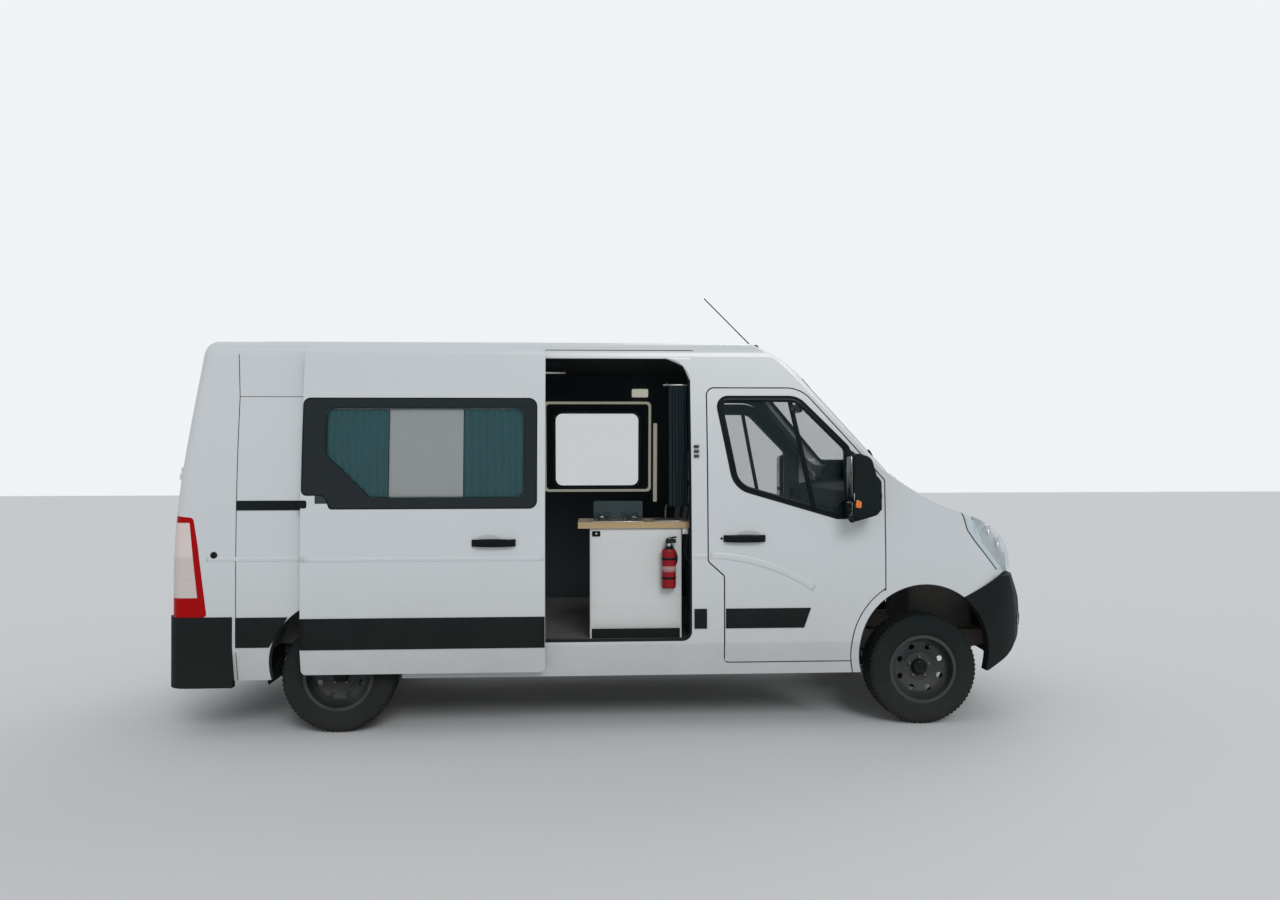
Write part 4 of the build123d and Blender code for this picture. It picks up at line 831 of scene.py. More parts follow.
def side_seams():
    """Panel joints of the quarter, the crease along the middle and the front door's curved crease."""
    z = np.linspace(0.34, 2.4, 40)
    t = np.linspace(0, 1, 30)
    for word, sign in SIDES:
        edge = np.where(z < WINDOW_TOP, DOOR_EDGE, DOOR_EDGE - (z - WINDOW_TOP) * 0.07)
        seam("seam_quarter_" + word, np.stack([edge, z], -1), sign)
        end = -1.95 if sign < 0 else -0.47
        seam("seam_upper_" + word, [(DOOR_EDGE, WINDOW_TOP), (end, WINDOW_TOP)], sign, 0.004)
        crease("crease_quarter_" + word, -2.525, -1.955 if sign < 0 else 0.54, sign)
        path = side_place(sign)(0.56 + 0.662 * t, 1.088 - 0.02 * t - 0.188 * t ** 2.2, 0 * t)
        sweep("crease_front_door_" + word, path, (0, sign, 0), ridge(0.022, 0.0014), "body_paint",
            body="front_door_%s_body" % word)
    crease("crease_sliding_door", -1.94, -0.47, -1.0, DOOR_OUT)
    crease("crease_ahead_of_doorway", 0.465, 0.54, -1.0)
    rail = 2.372 + 0.012
    seam("rail_upper", [(-0.469, rail), (0.467, rail)], -1.0, 0.008)
    seam("aperture_step", [(0.467, 0.48), (0.467, 2.384)], -1.0, 0.004)
    rail_end = arc_outline([(-1.962, 1.398, 0.006), (-1.908, 1.398, 0.012), (-1.908, 1.446, 0.012),
        (-1.962, 1.446, 0.006)], 5)
    plate("rail_cover_end", rail_end, side_place(-1.0, DOOR_OUT), "black_plastic", 0.003, edge=0.002)
    turn = np.linspace(0, math.pi / 2, 16)
    arc = np.stack([0.287 + 0.162 * np.cos(turn), 2.172 + 0.162 * np.sin(turn)], -1)
    corner = np.concatenate([[(0.452, 2.172), (0.452, 2.337), (0.287, 2.337)], arc[::-1]])
    plate("doorway_corner", resample(corner, 60), side_place(-1.0), "body_paint", 0.0006, -0.006, 0.0003)
    fuel = block(0.285, 0.465, 0.905, 1.075, 0.02, 6)
    path = side_place(1.0)(fuel[:, 0], fuel[:, 1], 0 * fuel[:, 0])
    sweep("fuel_flap_joint", path, (0, 1.0, 0), rounded(0.004, 0.003, 0.0008, 3) + (0, -0.0008), "seam",
        closed=True)
    for word, sign in SIDES:
        plate("quarter_plug_" + word, oval(-2.48, 1.112, 0.021, 0.021, 24), side_place(sign),
            "black_plastic", 0.004, edge=0.002, crown=0.001)


WINDOW = resample(arc_outline([(0.722, 1.514, 0.15), (1.37, 1.323, 0.04), (1.451, 1.323, 0.03),
    (1.451, 1.76, 0.06), (1.13, 2.084, 0.13), (0.612, 2.084, 0.06)], 10), 320)
LEFT_WINDOW = resample(block(-0.5, 0.25, 1.44, 2.1, 0.09, 10), 260)
PANE = resample(arc_outline([(-1.771, 1.394, 0.02), (-0.518, 1.394, 0.045), (-0.518, 2.071, 0.05),
    (-1.939, 2.071, 0.04), (-1.939, 1.478, 0.03), (-1.8, 1.478, 0.05)], 10), 700)
REAR_PANE = arc_outline([(0.095, 1.4, 0.06), (0.77, 1.4, 0.06), (0.735, 2.15, 0.06), (0.095, 2.15, 0.06)],
    10)
DOORWAY = resample(arc_outline([(-0.79, 0.557, 0.03), (0.447, 0.557, 0.06), (0.447, 2.332, 0.16),
    (-0.79, 2.332, 0.03)], 12), 600)


def pane_trim(name, line, depth, place, top, edge, seal, body="van"):
    """A pane's black border and the rubber bead round it: seal gives the bead's reach out, top and edge."""
    frame_plate(name + "_border" + seal[3], line, inset_line(line, depth), place, "gloss_black", top,
        -0.004, edge, body)
    frame_plate(name + "_seal" + seal[3], inset_line(line, -seal[0]), inset_line(line, 0.006), place,
        "rubber", seal[1], -0.004, seal[2], body)


def window_seals():
    """Borders and rubber beads of every pane, the bar across the front windows and the doorway's seal."""
    t = np.linspace(0, 1, 12)
    for word, sign in SIDES:
        body = "front_door_%s_body" % word
        place = side_place(sign)
        end = "_" + word
        pane_trim("front_window", WINDOW, 0.03, place, 0.0012, 0.001, (0.011, 0.0035, 0.0025, end), body)
        sweep("front_window_bar" + end, place(1.081 + 0.143 * t, 2.062 - 0.7 * t, 0 * t), (0, sign, 0),
            rounded(0.03, 0.01, 0.002, 3) + (0, -0.001), "gloss_black", body=body)
        pane_trim("rear_window", REAR_PANE * (sign, 1), 0.04, rear_place, 0.0006, 0.0005,
            (0.01, 0.003, 0.002, end), "rear_door_%s_body" % word)
    pane_trim("left_window", LEFT_WINDOW, 0.035, side_place(1.0), 0.0012, 0.001, (0.01, 0.0035, 0.002, ""))
    frame_plate("sliding_pane_seal", inset_line(PANE, -0.004), inset_line(PANE, 0.004),
        side_place(-1.0, DOOR_OUT), "rubber", 0.0012, edge=0.001)
    path = side_place(-1.0)(DOORWAY[:, 0], DOORWAY[:, 1], 0 * DOORWAY[:, 0] - 0.02)
    sweep("doorway_seal", path, (0, -1.0, 0), rounded(0.026, 0.034, 0.01, 5), "rubber", closed=True)


# Nose, windscreen and wipers
SCREEN = arc_outline([(-0.825, 1.64, 0.06), (0.825, 1.64, 0.06), (0.735, 2.225, 0.07),
    (-0.735, 2.225, 0.07)], 10)


def windscreen_dress():
    """Black border and seal of the windscreen, with the blob behind the inner mirror."""
    line = resample(SCREEN, 200)
    frame_plate("windscreen_border", line, inset_line(line, 0.045), screen_place, "gloss_black", 0.001,
        edge=0.0008)
    frame_plate("windscreen_seal", inset_line(line, -0.003), inset_line(line, 0.004), screen_place,
        "rubber", 0.0012, -0.004, 0.0008)
    t = np.linspace(0, 2 * math.pi, 28, endpoint=False)
    blob = np.stack([0.095 * np.sin(t), 2.165 + 0.045 * np.cos(t)], -1)
    plate("windscreen_sensor_patch", blob, screen_place, "gloss_black", 0.0012, edge=0.0005)


def wiper(word, pivot_y, tip_y):
    """A wiper: an arm bent up from its pivot and a blade lying along the glass."""
    t = np.linspace(0, 1, 24)
    y = pivot_y + (tip_y - pivot_y) * t * 0.72
    z = 1.622 + 0.135 * np.sin(t * 1.35)
    path = np.stack([screen_x(y, z) + 0.016 + 0.01 * np.sin(math.pi * t), y, z], -1)
    sweep("wiper_arm_" + word, path, (1, 0, 0.4), rounded(0.016, 0.008, 0.003, 4), "black_plastic",
        scale=1.15 - 0.5 * t)
    y = pivot_y + (tip_y - pivot_y) * (0.12 + 0.88 * t)
    z = 1.668 + 0.078 * t
    path = np.stack([screen_x(y, z) + 0.006, y, z], -1)
    section = np.array([(-0.004, -0.006), (0.004, -0.006), (0.006, 0.002), (0.003, 0.009), (-0.003, 0.009),
        (-0.006, 0.002)])
    sweep("wiper_blade_" + word, path, (1, 0, 0.4), section, "rubber",
        scale=0.75 + 0.25 * np.sin(math.pi * np.clip(t, 0.06, 0.94)))
    lathe("wiper_pivot_" + word, [(-0.02, 0.0001), (-0.02, 0.02), (0.006, 0.019), (0.011, 0.013),
        (0.012, 0.0001)], (screen_x(pivot_y, 1.615) + 0.012, pivot_y, 1.615), (0.5, 0, 0.86),
        "black_plastic", 24)


def cowl_slats():
    """Air slats over the cowl: short curved bars along the foot of the windscreen."""
    for index, y in enumerate(np.linspace(-0.7, 0.7, 5)):
        span = np.linspace(y - 0.115, y + 0.115, 12)
        for row in range(3):
            z = 1.59 - 0.012 * row
            x = nose_x(span, np.full(12, z))
            path = np.stack([x, span, z + 0 * span], -1)
            sweep("cowl_slat_%d_%d" % (index, row), path, (0.5, 0, 0.86), rounded(0.006, 0.006, 0.002, 3),
                "gloss_black")


def grille_bars():
    """Bright-edged bars in the grille, following the nose."""
    y = np.linspace(-0.52, 0.52, 60)
    for index, z in enumerate((0.951, 0.984, 1.014, 1.044)):
        path = nose_place(y, np.full(60, z), 0 * y - 0.002)
        section = np.array([(-0.005, -0.004), (0.005, -0.004), (0.0035, 0.004), (0, 0.006),
            (-0.0035, 0.004)])
        sweep("grille_bar_%d" % index, path, (1, 0, 0), section, "trim_silver" if index in (0,
            3) else "gloss_black")


BULGE = arc_outline([(-0.118, 0.325, 0), (0.038, 0.437, 0.15), (0.046, 0.65, 0.4), (0.036, 0.8, 0.3),
    (0.01, 0.965, 0), (0.01, 1.1, 0)], ARC)


def bumper_place(a, b, h):
    """Maps (y, z, height) to the front bumper: the nearer of the turned nose and the two slanting corner
    forms."""
    out = np.interp(b, BULGE[:, 1], BULGE[:, 0])
    corner = HALF - 0.315 + (out - 0.467 * (np.abs(a) - SIDE + 0.037)) / 0.884
    return np.stack([np.minimum(nose_x(a, b), corner) + h, a, b], -1)


def intake_mesh():
    """Slats across the lower intake of the front bumper and the dark duct behind them."""
    y = np.linspace(-0.462, 0.462, 50)
    for index in range(5):
        z = 0.578 + 0.0235 * index
        half = 0.425 + 0.04 * (z - 0.56) / 0.13
        span = y * half / 0.462
        path = nose_place(span, np.full(50, z), 0 * y - 0.022)
        sweep("intake_slat_%d" % index, path, (1, 0, 0), rounded(0.006, 0.026, 0.002, 3), "black_plastic")
    outline = arc_outline([(-0.44, 0.555, 0.02), (0.44, 0.555, 0.02), (0.48, 0.695, 0.02),
        (-0.48, 0.695, 0.02)], 6)
    plate("intake_duct", resample(outline, 80), nose_place, "rubber", -0.062, -0.07, 0.001)


def front_bumper_dress():
    """Blank number plate, fog lamps, towing eye cover and the lower lip's groove."""
    flat = lambda a, b, h: np.stack([0 * a + 2.773 - (b - 0.758) * 0.22 + h - 0.004, a, b], -1)
    plate("front_plate_blank", block(-0.26, 0.26, 0.758, 0.868, 0.006), flat, "plate_white", 0.004, -0.03,
        0.001)
    for word, sign in SIDES:
        rim = oval(sign * 0.66, 0.61, 0.085, 0.05, 36)
        glass = inset_line(rim, 0.014)
        frame_plate("fog_bezel_" + word, rim, glass, bumper_place, "gloss_black", 0.006, -0.004, 0.004)
        plate("fog_lens_" + word, glass, bumper_place, "lamp_lens", 0.001, -0.004, 0.001, crown=0.004)
        y = np.linspace(0.1, 0.86, 50) * sign
        sweep("bumper_groove_" + word, bumper_place(y, np.full(50, 0.44), 0 * y), (1, 0, 0),
            rounded(0.008, 0.004, 0.001, 3) + (0, -0.001), "seam")
    plate("tow_eye_cover", oval(-0.36, 0.79, 0.03, 0.03, 24), bumper_place, "black_plastic", 0.0015,
        edge=0.001)


def plan_y(x):
    """Half-width of the nose in plan, where it narrows ahead of the doors."""
    line = arc_outline([(1.3, SIDE + 0.028, 0), (HALF - 0.315, SIDE - 0.037, 0.5),
        (HALF - 0.032, 0.462, 0.6), (HALF + 0.016, 0.0, 0), (1.3, 0, 0)], ARC)[:2 + 2 * ARC]
    return np.interp(x, line[:, 0], line[:, 1])


def wing_place(sign):
    """Maps (x, z, height) to the wing: the nearest of the flank, the plan and the turned nose."""
    order = np.argsort(NOSE_LINE[1:-1, 1])
    line = NOSE_LINE[1:-1][order]

    def place(a, b, h):
        reach = np.interp(b, line[:, 1], line[:, 0]) - NOSE_AXIS
        turned = np.sqrt(np.maximum(reach ** 2 - (a - NOSE_AXIS) ** 2, 1e-06))
        y = np.minimum(np.minimum(side_y(b), plan_y(a)), turned)
        return np.stack([a, sign * (y + h), b], -1)
    return place


def lamp_edge(word, sign):
    """Silver edge of the headlamp's lens over the wing, and the dark joint round it."""
    place = wing_place(sign)
    rear = np.array([(2.172, 1.35), (2.186, 1.321), (2.211, 1.238), (2.262, 1.167), (2.347, 1.071),
        (2.433, 0.976)])
    front = np.array([(2.51, 0.958), (2.4, 1.058), (2.268, 1.21), (2.24, 1.335)])
    plate("headlamp_edge_" + word, resample(np.concatenate([rear, front])[::-1], 80), place, "lamp_edge",
        0.0016, -0.004, 0.001)
    joint = resample(rear, 50, closed=False)
    sweep("headlamp_joint_" + word, place(joint[:, 0], joint[:, 1], 0 * joint[:, 0] + 0.0005),
        (0, sign, 0), rounded(0.007, 0.004, 0.001, 3), "seam")


def headlamp_dress(word, sign):
    """Inside a headlamp: two turned bowls with bulbs behind the lens."""
    aim = np.array([0.86, sign * 0.42, 0.16])
    s = np.linspace(0, 1, 10)
    for label, centre, radius in (("dip", (2.515, sign * 0.735, 1.105), 0.072),
            ("main", (2.425, sign * 0.8, 1.2), 0.06)):
        outer = np.stack([-0.055 + 0.075 * s ** 2, radius * (0.15 + 0.85 * s)], -1)
        profile = np.concatenate([[(-0.058, 0.0005)], outer, outer[::-1] - (0, 0.003), [(-0.052, 0.0005)]])
        lathe("headlamp_%s_%s" % (label, word), profile, centre, aim, "reflector", 40)
        lathe("headlamp_%s_bulb_%s" % (label, word), [(-0.05, 0.0005), (-0.05, 0.011), (-0.012, 0.011),
            (-0.004, 0.007), (-0.001, 0.0005)], centre, aim, "bulb", 20)


# Rear end

def rear_dress():
    """Rear doors: meeting seal, creases, pressed panels, handle, blank plate and lamp bar; then the high
    brake lamp, the bumper's ribs, step studs and reflectors."""
    z = np.linspace(0.572, 2.374, 60)
    back = (-1, 0, 0)
    left, right = "rear_door_left_body", "rear_door_right_body"
    sweep("rear_meeting_seal", rear_place(0 * z, z, 0 * z + 0.001), back, rounded(0.007, 0.02, 0.002, 4),
        "rubber", body=right)
    for word, sign in SIDES:
        body = "rear_door_%s_body" % word
        y = np.linspace(0.045, 0.8, 20) * sign
        sweep("rear_crease_" + word, rear_place(y, np.full(20, CREASE), 0 * y), back, ridge(0.014, 0.0022),
            "body_paint", body=body)
        lower = block(0.075, 0.79, 0.62, 1.02, 0.05, 6) * (sign, 1)
        frame_plate("rear_panel_press_" + word, lower, inset_line(lower, 0.02), rear_place, "body_paint",
            0.0022, -0.002, body=body)
    plate("rear_handle_dish", block(-0.205, -0.045, 1.13, 1.215, 0.012), rear_place, "black_plastic",
        0.003, edge=0.002, body=right)
    t = np.linspace(0, 1, 24)
    path = rear_place(-0.195 + 0.14 * t, np.full(24, 1.185), 0.01 + 0.012 * np.sin(math.pi * t) ** 0.5)
    sweep("rear_handle", path, back, rounded(0.026, 0.011, 0.004, 5), "gloss_black", body=right)
    plate("rear_plate_blank", block(0.11, 0.63, 0.7, 0.81, 0.006), rear_place, "plate_white", 0.008,
        -0.002, 0.001, body=left)
    box_form("plate_lamp_bar", (-2.768, 0.25, 0.83), (-2.7435, 0.49, 0.858), "black_plastic", body=left)
    plate("high_brake_lamp", block(-0.17, 0.17, 2.425, 2.447, 0.006), rear_place, "red_lens", 0.006,
        -0.004, 0.002)
    y = np.linspace(-0.9, 0.9, 50)
    for index, z in enumerate((0.42, 0.44)):
        path = np.stack([REAR_BUMPER + np.maximum(np.abs(y) - 0.86, 0) ** 2 * 3, y, np.full(50, z)], -1)
        sweep("rear_bumper_rib_%d" % index, path, back, rounded(0.006, 0.003, 0.001, 3) + (0, -0.0014),
            "black_plastic")
    for index, y in enumerate(np.linspace(-0.62, 0.62, 12)):
        box_form("step_stud_%02d" % index, (-2.768, y - 0.03, 0.544), (-2.722, y + 0.03, 0.5475),
            "black_plastic", 0.0015)
    flat = lambda a, b, h: np.stack([0 * a + REAR_BUMPER - h, a, b], -1)
    for word, sign in SIDES:
        plate("rear_reflector_" + word, oval(sign * 0.8, 0.4, 0.028, 0.028, 24), flat, "red_lens", 0.0004,
            -0.004, 0.0004)


# Roof and aerial

def roof_ribs():
    """Pressed ribs along the roof: a low rounded ridge fading out at both ends."""
    x = np.linspace(-2.35, 0.7, 90)
    fade = np.clip(np.minimum((x + 2.35) / 0.08, (0.7 - x) / 0.08), 0, 1)
    across = np.linspace(-1, 1, 9)
    for index, y in enumerate((-0.66, -0.4, -0.135, 0.135, 0.4, 0.66)):
        yy = y + 0.03 * across
        top = 0.0052 * np.cos(across * math.pi / 2) ** 0.8
        upper = roof_place(x[:, None] + 0 * yy, yy[None] + 0 * x[:, None],
            top[None] * fade[:, None] - 0.0008)
        under = roof_place(x[:, None] + 0 * yy, yy[None, ::-1] + 0 * x[:, None],
            0 * x[:, None] * yy - 0.0025)
        loft("roof_rib_%d" % index, np.concatenate([upper, under], 1), "body_paint")


def aerial_foot():
    """Moulded foot under the mast: an oval cone."""
    rows = []
    for t in np.linspace(0, 1, 8):
        wide = 0.026 * (1 - 0.72 * t ** 0.8)
        ring = oval(1.04, 0.0, 1.7 * wide, wide, 24) - (0.012 * t, 0)
        rows.append(lift(ring, roof_z(0.0) - 0.028 + 0.055 * t))
    loft("aerial_foot", rows, "black_plastic")


# Mirrors
MIRROR = arc_outline([(1.412, 1.3, 0.03), (1.585, 1.35, 0.045), (1.602, 1.47, 0.06), (1.535, 1.7, 0.05),
    (1.42, 1.742, 0.04)], 10)


def mirror_shell(word, sign):
    """Mirror head: its side outline carried from the body to the tip, swelling then closing in a round
    end."""
    line = resample(MIRROR, 96)
    middle = line.mean(0)
    t = np.linspace(0, 1, 22)
    y = SIDE + 0.036 + 0.163 * (1 - np.cos(math.pi * t)) / 2
    size = np.clip(1 - 0.1 * (1 - np.minimum(t / 0.18, 1)) ** 2 - 0.15 * np.maximum((t - 0.72) / 0.28,
        0) ** 2.2, 0, 1)
    flat = middle + (line - middle)[None] * size[:, None, None]
    rings = np.stack([flat[..., 0], sign * y[:, None] + 0 * flat[..., 0], flat[..., 1]], -1)
    body = "front_door_%s_body" % word
    loft("mirror_head_" + word, rings, "black_plastic", body=body, replaces=("mirror_" + word,))
    glass = arc_outline([(SIDE + 0.052, 1.335, 0.02), (SIDE + 0.182, 1.35, 0.02),
        (SIDE + 0.186, 1.56, 0.02), (SIDE + 0.172, 1.715, 0.02), (SIDE + 0.052, 1.71, 0.02)], 6)
    face = lambda a, b, h: np.stack([1.4135 - h - 0 * a, sign * a, b], -1)
    plate("mirror_glass_upper_" + word, inset_line(glass, 0.004) * (1, 0.7) + (0, 0.512), face,
        "mirror_glass", 0.001, -0.006, 0.001, body=body)
    wide = arc_outline([(SIDE + 0.056, 1.335, 0.015), (SIDE + 0.18, 1.345, 0.015),
        (SIDE + 0.184, 1.43, 0.015), (SIDE + 0.056, 1.425, 0.015)], 6)
    plate("mirror_glass_lower_" + word, wide, face, "mirror_glass", 0.001, -0.006, 0.001, body=body,
        crown=0.003)
    lens = arc_outline([(1.424, 1.388, 0.012), (1.444, 1.368, 0.01), (1.48, 1.38, 0.014),
        (1.48, 1.441, 0.014), (1.45, 1.49, 0.008), (1.42, 1.484, 0.008)], 6)
    outer = lambda a, b, h: np.stack([a, sign * (SIDE + 0.197 + h), b], -1)
    plate("mirror_repeater_" + word, lens, outer, "lamp_edge", 0.0015, -0.045, 0.0015, body=body)
    amber = arc_outline([(1.43, 1.396, 0.008), (1.466, 1.39, 0.008), (1.468, 1.43, 0.008),
        (1.436, 1.444, 0.006)], 5)
    plate("mirror_repeater_amber_" + word, amber, outer, "amber", 0.0026, -0.004, 0.0006, body=body)


def mirror_sail(word, sign):
    """Black corner cover on the door at the mirror and the arms that carry the head."""
    body = "front_door_%s_body" % word
    sail = arc_outline([(1.415, 1.35, 0.02), (1.455, 1.285, 0.012), (1.655, 1.366, 0.012),
        (1.655, 1.552, 0.02), (1.523, 1.705, 0.03), (1.43, 1.77, 0.01)], 7)
    plate("mirror_sail_" + word, resample(sail, 80), side_place(sign), "black_plastic", 0.009, -0.004,
        0.005, body=body)
    for index, z in enumerate((1.402, 1.6)):
        t = np.linspace(0, 1, 10)
        path = np.stack([1.5 + 0.02 * t, sign * (side_y(np.full(10, z)) - 0.002 + 0.062 * t),
            z - 0.01 * np.sin(math.pi * t)], -1)
        sweep("mirror_arm_%d_%s" % (index, word), path, (1, 0, 0), rounded(0.042, 0.06, 0.018, 6),
            "black_plastic", body=body, scale=1.2 - 0.35 * np.sin(math.pi * t))


# Wheels

def tyre_skin(where, word, sign):
    """Tyre: a round-shouldered section turned about the axle, with four grooves, sipes and shoulder
    blocks cut by waves of angle, and raised rings on its side wall."""
    count = 73
    half, shoulder_start, blocks_round = 0.1125, 0.086, 72
    s = np.linspace(-1, 1, count)
    across = half * np.sign(s) * np.abs(s) ** 0.85
    apart = np.abs(across)
    radius = 0.3492 - 0.003 * (across / 0.085) ** 2
    shoulder = np.clip((apart - shoulder_start) / (half - shoulder_start), 0, 1)
    radius = np.where(shoulder > 0, 0.3457 - 0.06 * (1 - np.sqrt(np.maximum(1 - shoulder ** 2, 0))), radius)
    turn = np.linspace(0, 2 * math.pi, blocks_round * 6, endpoint=False)
    groove = sum(np.exp(-((across - c) / 0.0042) ** 4) for c in (-0.056, -0.02, 0.02, 0.056))
    sipe = np.sin(turn * blocks_round) > 0.72
    block_zone = (apart > 0.06) & (apart < 0.106)
    rib_zone = (apart < 0.052) & (groove < 0.5)
    depth = 0.0075 * groove[None] * (apart < 0.09)[None]
    depth = depth + 0.006 * sipe[:, None] * block_zone[None] + 0.0022 * np.roll(sipe, 3)[:,
        None] * rib_zone[None]
    wall_r = np.array([0.283, 0.276, 0.27, 0.262, 0.25, 0.238, 0.226, 0.214, 0.2055])
    wall_y = np.array([half, half, 0.1118, 0.1122, 0.1108, 0.1095, 0.106, 0.1, 0.095])
    ring_r = np.concatenate([wall_r[::-1], np.zeros(count), wall_r, [0.205, 0.205]])
    ring_y = np.concatenate([-wall_y[::-1], across, wall_y, [0.08, -0.08]])
    full_r = np.broadcast_to(ring_r, (len(turn), len(ring_r))).copy()
    full_r[:, 9:9 + count] = radius[None] - np.minimum(depth, 0.0078)
    y = sign * TRACK[where] / 2 + ring_y[None] + 0 * full_r
    rings = np.stack([AXLE[where] + full_r * np.cos(turn)[:, None], y, HUB + full_r * np.sin(turn)[:,
        None]], -1)
    torus("tyre_dressed_%s_%s" % (where, word), rings, "tyre", "wheel_%s_%s" % (where, word),
        replaces=("tyre_%s_%s" % (where, word),))


def wheel_dress(where, word, sign):
    """Wheel bolts and a plain turned hub cap on the steel rim."""
    x, face = AXLE[where], sign * (TRACK[where] / 2 + 0.014)
    body = "wheel_%s_%s" % (where, word)
    axis = np.array([0, sign, 0.0])
    bolt = [(-0.006, 0.0004), (-0.006, 0.0145), (0.0, 0.0145), (0.001, 0.0125), (0.013, 0.0115),
        (0.016, 0.009), (0.017, 0.0004)]
    for index in range(5):
        turn = 2 * math.pi * index / 5 + 0.3
        lathe("bolt_%s_%s_%d" % (where, word, index), bolt, (x + 0.065 * math.cos(turn), face,
            HUB + 0.065 * math.sin(turn)), axis, "bolt_steel", 6, body, smooth=False)
    cap = [(0.0015, 0.0004), (0.0015, 0.04), (-0.002, 0.042), (-0.002, 0.051), (0.005, 0.051),
        (0.008, 0.0485), (0.022, 0.0475), (0.03, 0.044), (0.0345, 0.038), (0.036, 0.03), (0.0335, 0.026),
        (0.0335, 0.013), (0.0355, 0.009), (0.036, 0.0004)]
    lathe("hub_cap_%s_%s" % (where, word), cap, (x, face, HUB), axis, "gloss_black", body=body)


# Cloth and padding

def folded_sheet(name, x, top, bottom, y_of, depth, waves, material, replaces=(),
        seed=0.0):
    """A hung sheet: columns at x fall from top to bottom(x); each point stands off y_of by a sum of two
    cosine folds that open out and lean a little on the way down."""
    thickness = 0.0012
    t = np.linspace(0, 1, 40)[:, None]
    low = np.array([bottom(value) for value in x])[None]
    z = top + (low - top) * t
    s = np.linspace(0, 1, len(x))[None]
    phase = 2 * math.pi * waves * (s + 0.018 * np.sin(3.1 * t + seed) * np.sin(math.pi * s))
    fold = np.cos(phase + 0.5 * np.sin(2.0 * phase + seed)) * 0.78 + 0.22 * np.cos(phase * 0.47 + 4.0 * t
        + seed)
    fold = fold * (0.72 + 0.28 * t)
    pinch = 1 - 0.35 * np.exp(-((t - 0.02) / 0.03) ** 2)
    front = np.stack([x[None] + 0 * z, y_of(z) + depth * fold * pinch, z], -1)
    rings = np.concatenate([front, (front + (0, thickness, 0))[:, ::-1]], 1)
    piece = loft(name, rings, material, replaces=replaces)


def inflate(piece):
    """Puff a closed form like stuffed cloth: remesh, run cloth with inner pressure and no gravity, cap
    how far each point moves, apply, smooth once."""
    voxel, pressure, cap, frames = 0.006, 3.5, 0.014, 18
    mesh = piece.data
    remesh = piece.modifiers.new("even", "REMESH")
    remesh.mode = "VOXEL"
    remesh.voxel_size = voxel
    graph = bpy.context.evaluated_depsgraph_get()
    even = bpy.data.meshes.new_from_object(piece.evaluated_get(graph))
    piece.modifiers.clear()
    piece.data = even
    for material in mesh.materials:
        if material.name not in [m.name for m in even.materials if m]:
            even.materials.append(material)
    rest = np.empty(len(even.vertices) * 3)
    even.vertices.foreach_get("co", rest)
    rest = rest.reshape(-1, 3)
    cloth = piece.modifiers.new("puff", "CLOTH")
    cloth.settings.use_pressure = True
    cloth.settings.uniform_pressure_force = pressure
    cloth.settings.effector_weights.gravity = 0.0
    cloth.settings.quality = 4
    cloth.settings.tension_stiffness = 20
    cloth.settings.compression_stiffness = 20
    cloth.point_cache.frame_start = 1
    cloth.point_cache.frame_end = frames
    scene = bpy.context.scene
    for frame_number in range(1, frames + 1):
        scene.frame_set(frame_number)
    graph = bpy.context.evaluated_depsgraph_get()
    puffed = bpy.data.meshes.new_from_object(piece.evaluated_get(graph))
    moved = np.empty(len(puffed.vertices) * 3)
    puffed.vertices.foreach_get("co", moved)
    moved = moved.reshape(-1, 3)
    shift = moved - rest
    length = np.linalg.norm(shift, axis=1)[:, None] + 1e-09
    moved = rest + shift * np.minimum(1, cap / length)
    puffed.vertices.foreach_set("co", moved.reshape(-1))
    puffed.polygons.foreach_set("use_smooth", np.ones(len(puffed.polygons), bool))
    piece.modifiers.clear()
    piece.data = puffed
    scene.frame_set(1)
    smooth = piece.modifiers.new("round", "SUBSURF")
    smooth.levels = 1
    smooth.render_levels = 1


def pad(name, centre, size, tilt, material, replaces=(), crown=0.1, bolster=0.0, puff=True,
        power=5.0):
    """A crowned pad: a superellipse section (length, thickness) carried across the width, its thickness
    rising to bolsters near both ends and its edges pulled in between the corners; tilted about Y."""
    length, width, thick = size
    turn = np.linspace(0, 2 * math.pi, 44, endpoint=False)
    c, s = np.cos(turn), np.sin(turn)
    a = np.sign(c) * np.abs(c) ** (2 / power)
    b = np.sign(s) * np.abs(s) ** (2 / 3.0)
    v = np.linspace(-1, 1, 31)[:, None]
    close = np.sqrt(np.maximum(1 - np.abs(v) ** 9, 0.0)) * 0.985 + 0.015
    side = bolster * np.exp(-((np.abs(v) - 0.86) / 0.13) ** 2)
    pull = 1 - 0.02 * (1 - v ** 2)
    h = thick / 2 * b * close + np.maximum(b, 0) * (side + crown * thick * (1 - v ** 2) * (1 - a ** 2))
    along = length / 2 * a * (0.9 + 0.1 * close) * pull
    ca, sa = math.cos(tilt), math.sin(tilt)
    x = centre[0] + along * ca - h * sa
    y = centre[1] + width / 2 * v + 0 * along
    z = centre[2] + along * sa + h * ca
    piece = loft(name, np.stack([x, y, z], -1), material, replaces=replaces)
    if puff:
        inflate(piece)


def piping(name, points):
    """A sewn cord along a closed line."""
    sweep(name, points, (0.02, 0.03, 1.0), ring_section(0.0035, 6), "belt", closed=True)


